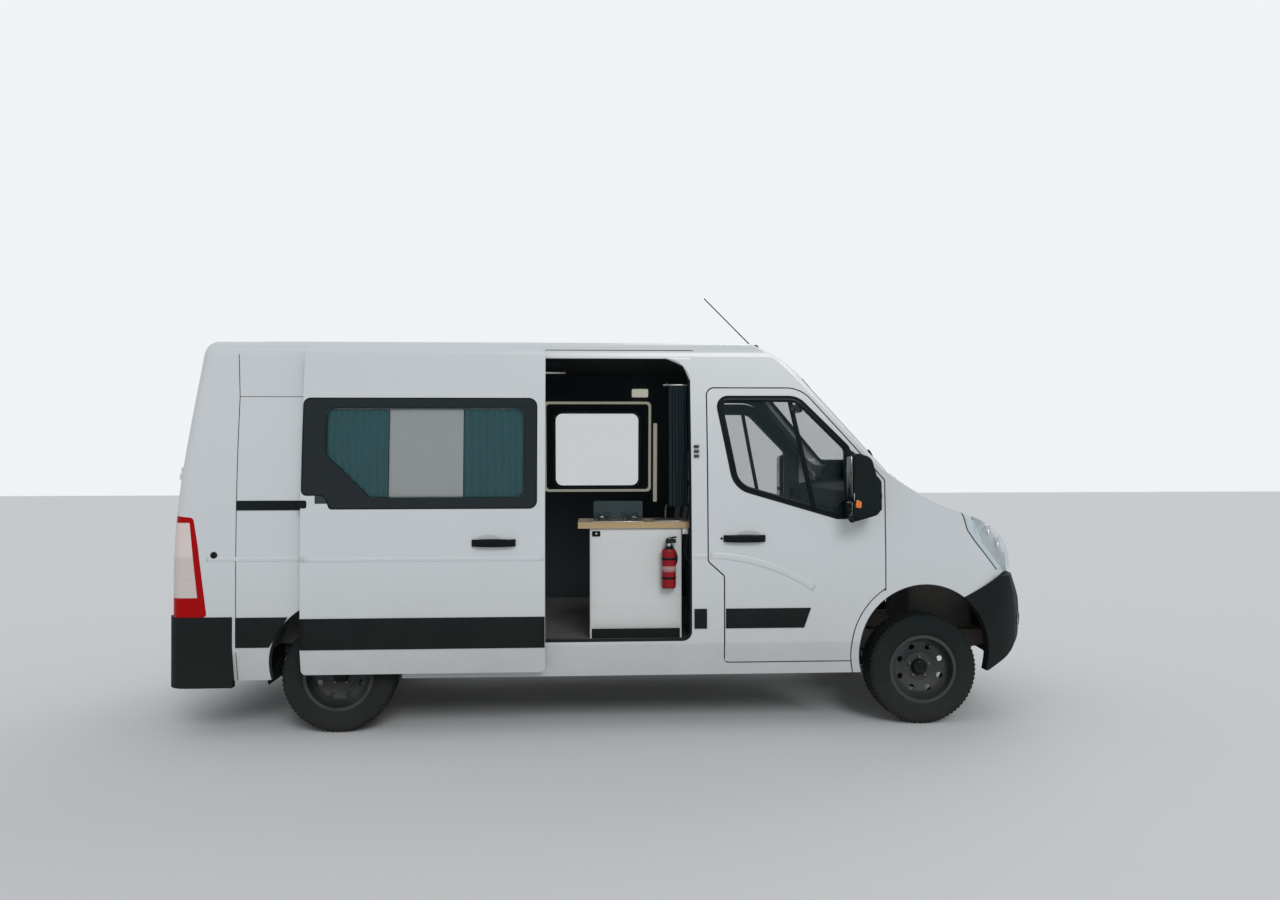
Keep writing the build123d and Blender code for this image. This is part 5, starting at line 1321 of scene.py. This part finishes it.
def door_curtains():
    """Two gathered curtains and a straight blind in the sliding door's window, between glass and trim."""
    face = lambda z: -(side_y(z) + DOOR_OUT) + 0.0265
    slant = lambda value: max(1.462, 1.731 - (value + 1.803) * 0.982)
    level = lambda value: 1.46
    folded_sheet("curtain_gathered_rear", np.linspace(-1.797, -1.425, 150), 2.008, slant, face, 0.0095,
        8.5, "curtain_fabric", ("curtain_rear",), seed=0.7)
    folded_sheet("curtain_gathered_front", np.linspace(-0.965, -0.6, 150), 2.008, level, face, 0.0095, 8.0,
        "curtain_fabric", ("curtain_front",), seed=2.1)
    folded_sheet("blind_sheet", np.linspace(-1.421, -0.969, 60), 2.008, level, face, 0.0022, 1.4,
        "blind_fabric", ("blind",), seed=0.2)
    x = np.linspace(-1.797, -0.6, 30)
    path = np.stack([x, face(np.full(30, 2.004)), np.full(30, 2.0075)], -1)
    sweep("curtain_track", path, (0, 0, 1.0), rounded(0.014, 0.007, 0.002, 3), "trim_silver")


def doorway_curtain():
    """Cab curtain drawn back to the doorway's front edge, on a short rail."""
    rail_y, rail_z = -0.868, 2.168
    y_of = lambda z: rail_y + 0.01 * np.sin((z - 1.4) * 3.0)
    folded_sheet("curtain_doorway", np.linspace(0.318, 0.44, 120), 2.16, lambda value: 1.388, y_of, 0.022,
        6.0, "dark_curtain", seed=1.3)
    rod_line("curtain_rail_doorway", (0.28, rail_y, rail_z), (0.47, rail_y, rail_z), 0.007, "trim_silver")
    for index, x in enumerate((0.3, 0.452)):
        rod_line("curtain_rail_post_%d" % index, (x, rail_y, rail_z), (x, -0.905, 2.17), 0.005,
            "trim_silver")


def rod_line(name, start, end, radius, material, body="van"):
    """A round bar between two points with eased ends."""
    start, end = np.asarray(start, float), np.asarray(end, float)
    length = np.linalg.norm(end - start)
    ease = radius * 0.4
    profile = [(0, 0.0002), (0, radius - ease), (ease, radius), (length - ease, radius),
        (length, radius - ease), (length, 0.0002)]
    lathe(name, profile, start, end - start, material, 16, body)


# Seats and bed

def seat_dress(word, y0, y1, rests):
    """One cab seat: moulded base, cushion, back with side bolsters and headrests on posts."""
    width = y1 - y0
    node = word + "_seat"
    box_form("seat_base_" + word, (0.575, y0 + 0.045, 0.5575), (0.93, y1 - 0.045, 0.872), "floor_paint",
        0.02)
    box_form("seat_rail_" + word, (0.56, y0 + 0.06, 0.868), (0.955, y1 - 0.06, 0.884), "chassis_steel",
        0.004)
    count = len(rests)
    for index in range(count):
        low, high = y0 + width * index / count, y0 + width * (index + 1) / count
        centre, part = (low + high) / 2, high - low
        label = word if count == 1 else "%s_%d" % (word, index)
        pad("seat_cushion_" + label, (0.775, centre, 0.942), (0.49, part - 0.026, 0.092), 0.05,
            "seat_fabric", replaces=(node,) if index == 0 else (), bolster=0.01)
        pad("seat_back_" + label, (0.545, centre, 1.27), (0.6, part - 0.03, 0.082), math.pi - 1.74,
            "seat_fabric", crown=0.06, bolster=0.012)
        for row, offset in enumerate(np.linspace(-0.3, 0.3, 4)[1:3]):
            y = np.linspace(low + 0.07, high - 0.07, 16)
            x = 0.775 + offset * 0.55
            path = np.stack([0 * y + x, y, 0 * y + 0.9925 + 0.05 * (x - 0.775)], -1)
            sweep("seat_channel_%s_%d" % (label, row), path, (0, 0, 1.0), rounded(0.005, 0.003, 0.001, 3),
                "seam")
    for index, y in enumerate(rests):
        label = "%s_%d" % (word, index)
        pad("headrest_" + label, (0.505, y, 1.675), (0.17, 0.206, 0.042), math.pi - 1.66, "seat_fabric",
            crown=0.25, power=3.5)
        for side_number, offset in enumerate((-0.06, 0.06)):
            rod_line("headrest_post_%s_%d" % (label, side_number), (0.512, y + offset, 1.575),
                (0.507, y + offset, 1.61), 0.0055, "trim_silver")


def seat_belt(word, sign):
    """A belt: flat webbing from the pillar's guide down to the floor beside the seat, with its guide."""
    t = np.linspace(0, 1, 30)
    y = sign * (0.9 - 0.02 * np.sin(math.pi * t))
    z = 1.82 - 1.16 * t
    x = 0.5 + 0.03 * np.sin(math.pi * t)
    sweep("belt_" + word, np.stack([x, y, z], -1), (0, sign, 0), rounded(0.046, 0.0016, 0.0005, 2), "belt")
    pillar = lambda a, b, h: np.stack([a, sign * (0.912 - h), b], -1)
    plate("belt_guide_" + word, block(0.47, 0.53, 1.795, 1.85, 0.012), pillar, "gloss_black", 0.006, -0.02)


def mattress_cushions():
    """The bed's three cushions lying on the locker, crowned, with piping round their upper and lower
    seams."""
    for index in range(3):
        x0 = -2.298 + 0.4655 * index
        x = (x0 + (x0 + 0.462)) / 2
        pad("bed_cushion_%d" % index, (x, 0.0, 0.9485), (0.462, 1.356, 0.094), 0.0, "mattress_fabric",
            replaces=("mattress",) if index == 0 else (), crown=0.04, puff=False, power=9.0)
        outline = rounded(0.448, 1.33, 0.03, 5) + (x, 0)
        for level, z in enumerate((0.912, 0.984)):
            piping("bed_piping_%d_%d" % (index, level), lift(outline, z))


# Living space

def face_place(level, axis, sign):
    """Maps (a, b, height) to a flat face: axis y takes (x, z), axis x takes (y, z), axis z takes (x, y)."""
    if axis == "y":
        return lambda a, b, h: np.stack([a, level + sign * h + 0 * a, b], -1)
    if axis == "x":
        return lambda a, b, h: np.stack([level + sign * h + 0 * a, a, b], -1)
    return lambda a, b, h: np.stack([a, b, level + sign * h + 0 * a], -1)


def panel(name, a0, a1, b0, b1, radius, place, material, top, edge=0.001, body="van",
        bottom=-0.002):
    """A rounded rectangular plate."""
    outline = block(a0, a1, b0, b1, radius)
    plate(name, outline, place, material, top, bottom, edge, body=body)


def cabinet_dress():
    """Cabinet door, its latch, a skirting, the switch box, the hob with its raised lid, the sink and its
    tap."""
    front = face_place(-0.93, "y", -1)
    panel("cabinet_door", -0.186, 0.386, 0.628, 1.25, 0.003, front, "cabinet_board", 0.004)
    panel("cabinet_plinth", -0.18, 0.38, 0.56, 0.622, 0.002, front, "black_plastic", 0.0008, 0.0004)
    panel("cabinet_latch", -0.176, -0.124, 1.205, 1.239, 0.005, face_place(-0.934, "y", -1), "gloss_black",
        0.006, 0.002)
    lathe("cabinet_latch_button", [(0.0, 0.0002), (0.0, 0.0085), (0.004, 0.008), (0.005, 0.0002)],
        (-0.15, -0.94, 1.222), (0, -1, 0), "trim_silver", 20)
    box_form("switch_box", (0.397, -0.938, 1.2165), (0.434, -0.905, 1.2558), "switch_white", 0.004)
    panel("switch_rocker", 0.404, 0.427, 1.225, 1.248, 0.002, face_place(-0.938, "y", -1), "switch_white",
        0.003, 0.0015)
    top = face_place(1.295, "z", 1)
    panel("hob_plate", -0.19, 0.17, -0.9, -0.58, 0.02, top, "trim_silver", 0.003, 0.002)
    for index, x in enumerate((-0.105, 0.085)):
        centre = np.array([x, -0.745, 1.298])
        lathe("hob_burner_%d" % index, [(0, 0.0002), (0, 0.04), (0.006, 0.038), (0.008, 0.03),
            (0.012, 0.026), (0.014, 0.0002)], centre, (0, 0, 1), "wheel_steel", 32)
        for arm in range(4):
            turn = math.pi * (arm / 2 + 0.25)
            way = np.array([math.cos(turn), math.sin(turn), 0])
            tip = centre + way * 0.078
            rod_line("hob_grate_%d_%d" % (index, arm), centre + way * 0.018 + (0, 0, 0.022),
                tip + (0, 0, 0.022), 0.0028, "wheel_steel")
            rod_line("hob_foot_%d_%d" % (index, arm), tip + (0, 0, 0.024), tip - (0, 0, 0.001), 0.0028,
                "wheel_steel")
    panel("hob_lid", -0.165, 0.165, 1.298, 1.412, 0.012, face_place(-0.552, "y", -1), "lid_glass", 0.004,
        bottom=-0.001)
    for index, x in enumerate((-0.11, 0.11)):
        box_form("hob_hinge_%d" % index, (x - 0.014, -0.566, 1.295), (x + 0.014, -0.546, 1.312),
            "trim_silver", 0.003)
    panel("sink_rim", 0.205, 0.425, -0.88, -0.6, 0.03, top, "trim_silver", 0.003, 0.002)
    bowl = [(-0.0005, 0.0002), (0.0005, 0.06), (0.004, 0.078), (0.0042, 0.084), (0.0034, 0.086),
        (0.002, 0.0865), (-0.001, 0.087), (-0.001, 0.0002)]
    lathe("sink_bowl", bowl, (0.315, -0.74, 1.2975), (0, 0, 1), "wheel_steel", 40)
    t = np.linspace(0, 1, 24)
    path = np.stack([0.315 + 0 * t, -0.61 - 0.075 * np.clip(t * 1.6 - 0.6, 0, 1),
        1.297 + 0.095 * np.sin(np.minimum(t * 1.25, 1) * math.pi / 2) - 0.02 * np.clip(t * 5 - 4, 0, 1)],
        -1)
    sweep("sink_tap", path, (1, 0, 0), ring_section(0.006, 10), "trim_silver")


def extinguisher_dress():
    """Valve, levers, gauge, straps, hose and plain band of the fire extinguisher."""
    x, y = 0.306, -0.977
    lathe("extinguisher_neck", [(0, 0.0002), (0, 0.021), (0.018, 0.02), (0.024, 0.014), (0.05, 0.013),
        (0.052, 0.0002)], (x, y, 1.126), (0, 0, 1), "gloss_black", 28)
    t = np.linspace(0, 1, 14)
    for index, (rise, tip) in enumerate(((0.01, 0.024), (0.026, 0.012))):
        path = np.stack([x - 0.012 + 0.062 * t, 0 * t + y, 1.166 + rise + tip * np.sin(t * 1.5)], -1)
        sweep("extinguisher_lever_%d" % index, path, (0, 1, 0), rounded(0.005, 0.018, 0.002, 3),
            "gloss_black")
    lathe("extinguisher_gauge", [(0, 0.0002), (0, 0.012), (0.008, 0.012), (0.01, 0.01), (0.0105, 0.0002)],
        (x, y - 0.012, 1.152), (0, -1, 0), "trim_silver", 24)
    for index, z in enumerate((0.94, 1.06)):
        lathe("extinguisher_strap_%d" % index, [(0, 0.0445), (0, 0.0462), (0.014, 0.0462),
            (0.014, 0.0445)], (x, y, z), (0, 0, 1), "gloss_black", 40)
    lathe("extinguisher_band", [(0, 0.0448), (0, 0.0456), (0.036, 0.0456), (0.036, 0.0448)], (x, y, 0.985),
        (0, 0, 1), "label", 40)
    t = np.linspace(0, 1, 20)
    path = np.stack([x + 0.014 + 0.036 * np.sin(math.pi * np.minimum(t * 1.1, 1)), y - 0.004 + 0 * t,
        1.15 - 0.18 * t], -1)
    sweep("extinguisher_hose", path, (0, 1, 0), ring_section(0.007, 10), "rubber")


def living_dress():
    """Window frame, pillar strip, wall lamp, hanging rail, locker and boot doors, step tread and door
    strikers."""
    wall = lambda a, b, h: np.stack([a, side_y(b) - 0.06 - h, b], -1)
    outer = resample(block(-0.56, 0.316, 1.424, 2.16, 0.03, 6), 120)
    inner = resample(block(-0.54, 0.296, 1.444, 2.14, 0.02, 6), 120)
    frame_plate("window_frame_line", outer, inner, wall, "cream", 0.012, -0.004, 0.004)
    panel("pillar_strip_line", 0.336, 0.366, 1.34, 1.985, 0.006, wall, "cream", 0.01, 0.004)
    panel("wall_lamp", 0.158, 0.29, 2.196, 2.262, 0.01, wall, "lamp_cream", 0.024, 0.006)
    rod_line("hanging_rail", (-0.775, -0.8, 2.25), (-0.345, -0.8, 2.25), 0.008, "trim_silver")
    for index, x in enumerate((-0.74, -0.36)):
        rod_line("hanging_rail_post_%d" % index, (x, -0.8, 2.25), (x, -0.8, 2.372), 0.006, "rubber")
    end = face_place(-0.9, "x", 1)
    for index in range(3):
        y0 = -0.665 + 0.4466 * index
        panel("locker_door_%d" % index, y0, y0 + 0.436, 0.6, 0.88, 0.006, end, "cabinet_board", 0.004)
        panel("locker_pull_%d" % index, y0 + 0.19, y0 + 0.246, 0.846, 0.866, 0.004,
            face_place(-0.896, "x", 1), "gloss_black", 0.005, 0.002)
    rear = face_place(-2.3, "x", -1)
    for index in range(2):
        y0 = -0.66 + 0.665 * index
        panel("boot_door_%d" % index, y0, y0 + 0.655, 0.6, 0.88, 0.006, rear, "cabinet_board", 0.004)
        panel("boot_pull_%d" % index, y0 + 0.29, y0 + 0.365, 0.84, 0.862, 0.004,
            face_place(-2.304, "x", -1), "gloss_black", 0.005, 0.002)
    top = face_place(0.557, "z", 1)
    panel("step_tread", -0.77, 0.425, -0.968, -0.905, 0.006, top, "trim_silver", 0.003)
    for index in range(5):
        y = -0.96 + 0.0118 * index
        rod_line("step_rib_%d" % index, (-0.76, y, 0.5602), (0.415, y, 0.5602), 0.0018, "wheel_steel")
    for index, z in enumerate((1.712, 1.742, 1.772)):
        box_form("door_striker_%d" % index, (0.464, -side_y(np.full(1, z))[0] - 0.012, z - 0.009),
            (0.496, -side_y(np.full(1, z))[0] + 0.004, z + 0.009), "wheel_steel", 0.003)


# Cab

def cab_dress():
    """Instrument hood and dials, vents, centre panel, gear lever, column stalks, wheel boss, inner
    mirror, visors and pedals."""
    t = np.linspace(0, math.pi, 22)
    hood = []
    for x, size in ((1.385, 0.86), (1.4, 1.0), (1.47, 1.0), (1.52, 0.8), (1.545, 0.5)):
        arc = np.stack([DRIVER + 0.165 * size * np.cos(t), 1.38 + 0.125 * size * np.sin(t) ** 0.8], -1)
        inner = np.stack([DRIVER + (0.165 * size - 0.012) * np.cos(t[::-1]),
            1.38 + (0.125 * size - 0.014) * np.sin(t[::-1]) ** 0.8], -1)
        ring = np.concatenate([arc, inner])
        hood.append(np.concatenate([np.full((len(ring), 1), x), ring], 1))
    loft("binnacle_hood", hood, "black_plastic")
    for index, (y, radius) in enumerate(((0.488, 0.052), (0.352, 0.052), (DRIVER, 0.03))):
        centre = (1.44, y, 1.425 + (0.012 if index == 2 else 0))
        lathe("dial_%d" % index, [(-0.03, 0.0002), (-0.03, radius), (0.004, radius),
            (0.006, radius - 0.003), (0.002, radius - 0.005), (0.0, 0.0002)], centre, (-0.96, 0, 0.28),
            "gloss_black", 36)
    vents = ((0.8, 1.33), (0.075, 1.345), (-0.12, 1.345), (-0.8, 1.33))
    for index, (y, z) in enumerate(vents):
        for row in range(4):
            level = z - 0.024 + 0.016 * row
            x = 1.378 + 0.3 * (level - 1.33)
            rod_line("vent_slat_%d_%d" % (index, row), (x, y - 0.055, level), (x, y + 0.055, level),
                0.0035, "gloss_black")
    face = lambda a, b, h: np.stack([1.352 + (b - 1.13) * 0.185 - h + 0 * a, a, b], -1)
    panel("centre_panel", -0.115, 0.075, 1.15, 1.29, 0.01, face, "gloss_black", 0.006, 0.002, bottom=-0.02)
    for index in range(3):
        centre = (1.352 + 0.055 * 0.185 - 0.004, -0.085 + 0.065 * index, 1.185)
        lathe("heater_knob_%d" % index, [(0, 0.0002), (0, 0.018), (0.012, 0.016), (0.014, 0.0002)], centre,
            (-1, 0, 0.18), "black_plastic", 24)
    t = np.linspace(0, 1, 16)
    path = np.stack([1.345 - 0.1 * t, 0.12 + 0 * t, 1.11 + 0.13 * t], -1)
    sweep("gear_lever", path, (0, 1, 0), ring_section(0.007, 10), "gloss_black", scale=1.6 - 0.6 * t)
    lathe("gear_knob", [(-0.028, 0.0002), (-0.026, 0.014), (-0.01, 0.022), (0.01, 0.024), (0.022, 0.018),
        (0.028, 0.0002)], (1.24, 0.12, 1.25), (-0.45, 0, 0.89), "gloss_black", 24)
    axis = np.array([-0.86, 0, 0.51])
    hub = np.array([1.18, DRIVER, 1.235])
    lathe("wheel_boss", [(-0.02, 0.0002), (-0.02, 0.06), (0.008, 0.058), (0.016, 0.05), (0.022, 0.03),
        (0.024, 0.0002)], hub, axis, "black_plastic", 40)
    for index, sign in enumerate((1, -1)):
        path = np.stack([hub[0] + 0.055 + 0 * t, hub[1] + sign * (0.03 + 0.155 * t),
            hub[2] - 0.03 + 0.03 * t], -1)
        sweep("column_stalk_%d" % index, path, (1, 0, 0), rounded(0.014, 0.01, 0.004, 4), "gloss_black")
    mirror = block(-0.115, 0.115, 2.03, 2.095, 0.02)
    plate("inner_mirror", mirror, face_place(1.335, "x", -1), "gloss_black", 0.012, -0.012, 0.006)
    plate("inner_mirror_glass", inset_line(mirror, 0.006), face_place(1.323, "x", -1), "mirror_glass",
        0.0008, -0.002, 0.0004)
    rod_line("inner_mirror_stem", (1.34, 0.0, 2.085), (screen_x(0.0, 2.15) - 0.008, 0.0, 2.15), 0.008,
        "gloss_black")
    for word, sign in SIDES:
        visor = block(0.15, 0.62, 0, 0.15, 0.02)
        place = lambda a, b, h: np.stack([1.13 - b * 0.86 + h * 0.45, sign * a, 2.19 + b * 0.3 - h * 0.85],
            -1)
        plate("sun_visor_" + word, visor, place, "visor", 0.008, -0.006, 0.005)
    for index, (y, width) in enumerate(((0.56, 0.06), (0.42, 0.075), (0.3, 0.05))):
        box_form("pedal_%d" % index, (1.3, y - width / 2, 0.69), (1.318, y + width / 2, 0.75), "rubber",
            0.004)
        rod_line("pedal_arm_%d" % index, (1.318, y, 0.725), (1.415, y, 0.87), 0.006, "wheel_steel")


def door_cards():
    """Inside of the front doors: a pocket, a card and an arm rest; inside of the rear doors: flat
    boards."""
    for word, sign in SIDES:
        body = "front_door_%s_body" % word
        card = lambda a, b, h: np.stack([a, sign * (side_y(b) - 0.0605 - h), b], -1)
        panel("door_pocket_" + word, 0.72, 1.38, 0.62, 0.8, 0.03, card, "black_plastic", 0.012, 0.006,
            body=body)
        panel("door_card_" + word, 0.62, 1.4, 0.84, 1.29, 0.05, card, "visor", 0.004, 0.003, body=body)
        path_x = np.linspace(0.78, 1.18, 16)
        path = card(path_x, 0 * path_x + 1.08, 0 * path_x + 0.014)
        sweep("door_arm_rest_" + word, path, (0, -sign, 0), rounded(0.055, 0.03, 0.012, 4),
            "black_plastic", body=body)
        body = "rear_door_%s_body" % word
        inside = lambda a, b, h: np.stack([rear_x(b) + 0.0685 + h, sign * a, b], -1)
        panel("rear_door_board_" + word, 0.1, 0.78, 0.64, 1.33, 0.04, inside, "visor", 0.004, 0.002,
            body=body)


def wheel_shields():
    """Rubber shields behind the rear wheels: the wheelhouse's rear edge run down, bowed a little
    backwards."""
    corners = [(0.612, 0.3, 0.012), (0.95, 0.3, 0.02), (0.968, 0.53, 0.004), (0.612, 0.53, 0.004)]
    for word, sign in SIDES:
        place = lambda y, z, h, sign=sign: np.stack([REAR_AXLE - 0.427 - 0.6 * (0.53 - z) * (z - 0.3) + h,
            sign * y, z], -1)
        plate("wheel_shield_" + word, arc_outline(corners), place, "rubber", 0.003)


def under_dress():
    """Brake discs in front and drums behind."""
    disc = [(-0.06, 0.06), (-0.06, 0.145), (-0.036, 0.145), (-0.036, 0.06)]
    drum = [(-0.075, 0.06), (-0.075, 0.128), (-0.012, 0.13), (-0.008, 0.12), (-0.008, 0.06)]
    for word, sign in SIDES:
        for label, profile, where in (("disc", disc, "front"), ("drum", drum, "rear")):
            lathe("brake_%s_%s" % (label, word), profile, (AXLE[where], sign * TRACK[where] / 2, HUB),
                (0, sign, 0), "chassis_steel", 40, "wheel_%s_%s" % (where, word))


# Camera, light and floor

def set_camera():
    """A 28 mm camera at the photo's place; its right, up and forward come from three angles."""
    yaw, pitch, roll = math.radians(3.029), math.radians(0.459), math.radians(-0.106)
    right = np.array([math.cos(yaw), -math.sin(yaw), 0.0])
    ahead = np.array([math.sin(yaw), math.cos(yaw), 0.0])
    above = np.array([0.0, 0.0, 1.0])
    forward = ahead * math.cos(pitch) + above * math.sin(pitch)
    up = above * math.cos(pitch) - ahead * math.sin(pitch)
    across = right * math.cos(roll) + up * math.sin(roll)
    up = up * math.cos(roll) - right * math.sin(roll)
    lens = bpy.data.cameras.new("camera")
    lens.lens = 28.0
    lens.sensor_width = 36.0
    camera = bpy.data.objects.new("camera", lens)
    turn = np.eye(4)
    turn[:3, 0] = across
    turn[:3, 1] = up
    turn[:3, 2] = -forward
    turn[:3, 3] = (-0.2054, -7.2363, 1.7003)
    camera.matrix_world = Matrix(turn.tolist())
    bpy.context.scene.collection.objects.link(camera)
    bpy.context.scene.camera = camera


def set_light():
    """A pale sky all round, one wide soft sun from the camera's side and a weak one from behind."""
    world = bpy.data.worlds.new("studio")
    world.use_nodes = True
    bpy.context.scene.world = world
    tree = world.node_tree
    background = tree.nodes["Background"]
    rays = tree.nodes.new("ShaderNodeLightPath")
    seen = tree.nodes.new("ShaderNodeMath")
    seen.operation = "MAXIMUM"
    tree.links.new(rays.outputs["Is Camera Ray"], seen.inputs[0])
    tree.links.new(rays.outputs["Is Transmission Ray"], seen.inputs[1])
    strength = tree.nodes.new("ShaderNodeMapRange")
    tree.links.new(seen.outputs[0], strength.inputs["Value"])
    strength.inputs["To Min"].default_value = 0.62
    strength.inputs["To Max"].default_value = 0.92
    tree.links.new(strength.outputs[0], background.inputs["Strength"])
    background.inputs["Color"].default_value = (0.95, 0.975, 1.0, 1.0)
    for name, power, spread, aim in (("sun_front", 1.15, 24, (-0.25, 1.0, -0.7)),
            ("sun_back", 0.55, 40, (-0.5, -1.0, -0.8))):
        lamp = bpy.data.lights.new(name, "SUN")
        lamp.energy = power
        lamp.angle = math.radians(spread)
        holder = bpy.data.objects.new(name, lamp)
        z = -np.array(aim) / np.linalg.norm(aim)
        x = np.cross((0, 0, 1), z)
        x /= np.linalg.norm(x)
        turn = np.eye(4)
        turn[:3, :3] = np.stack([x, np.cross(z, x), z], 1)
        holder.matrix_world = Matrix(turn.tolist())
        bpy.context.scene.collection.objects.link(holder)


def lay_floor():
    """A wide flat floor under the tyres."""
    finish = Finish("studio_floor", roughness=0.9, specular_ior_level=0.2)
    finish.feed("Base Color", (0.62, 0.63, 0.64))
    M["studio_floor"] = finish.material
    half = 40.0
    corners = [(-half, -half, 0), (half, -half, 0), (half, half, 0), (-half, half, 0)]
    mesh_piece("floor", corners, [(0, 1, 2, 3)], "studio_floor", smooth=False)


bpy.context.scene.view_settings.view_transform = "Standard"
set_camera()
set_light()
lay_floor()

side_mouldings()
side_handles()
side_seams()
window_seals()
windscreen_dress()
wiper("left", 0.62, -0.06)
wiper("right", -0.06, -0.7)
cowl_slats()
grille_bars()
intake_mesh()
front_bumper_dress()
rear_dress()
roof_ribs()
aerial_foot()
for word, sign in SIDES:
    headlamp_dress(word, sign)
    lamp_edge(word, sign)
    mirror_shell(word, sign)
    mirror_sail(word, sign)
    for where in ("front", "rear"):
        tyre_skin(where, word, sign)
        wheel_dress(where, word, sign)
door_curtains()
doorway_curtain()
seat_dress("driver", 0.17, 0.68, (0.425,))
seat_dress("passenger", -0.7, 0.06, (-0.51, -0.13))
for word, sign in SIDES:
    seat_belt(word, sign)
mattress_cushions()
cabinet_dress()
extinguisher_dress()
living_dress()
cab_dress()
door_cards()
wheel_shields()
under_dress()
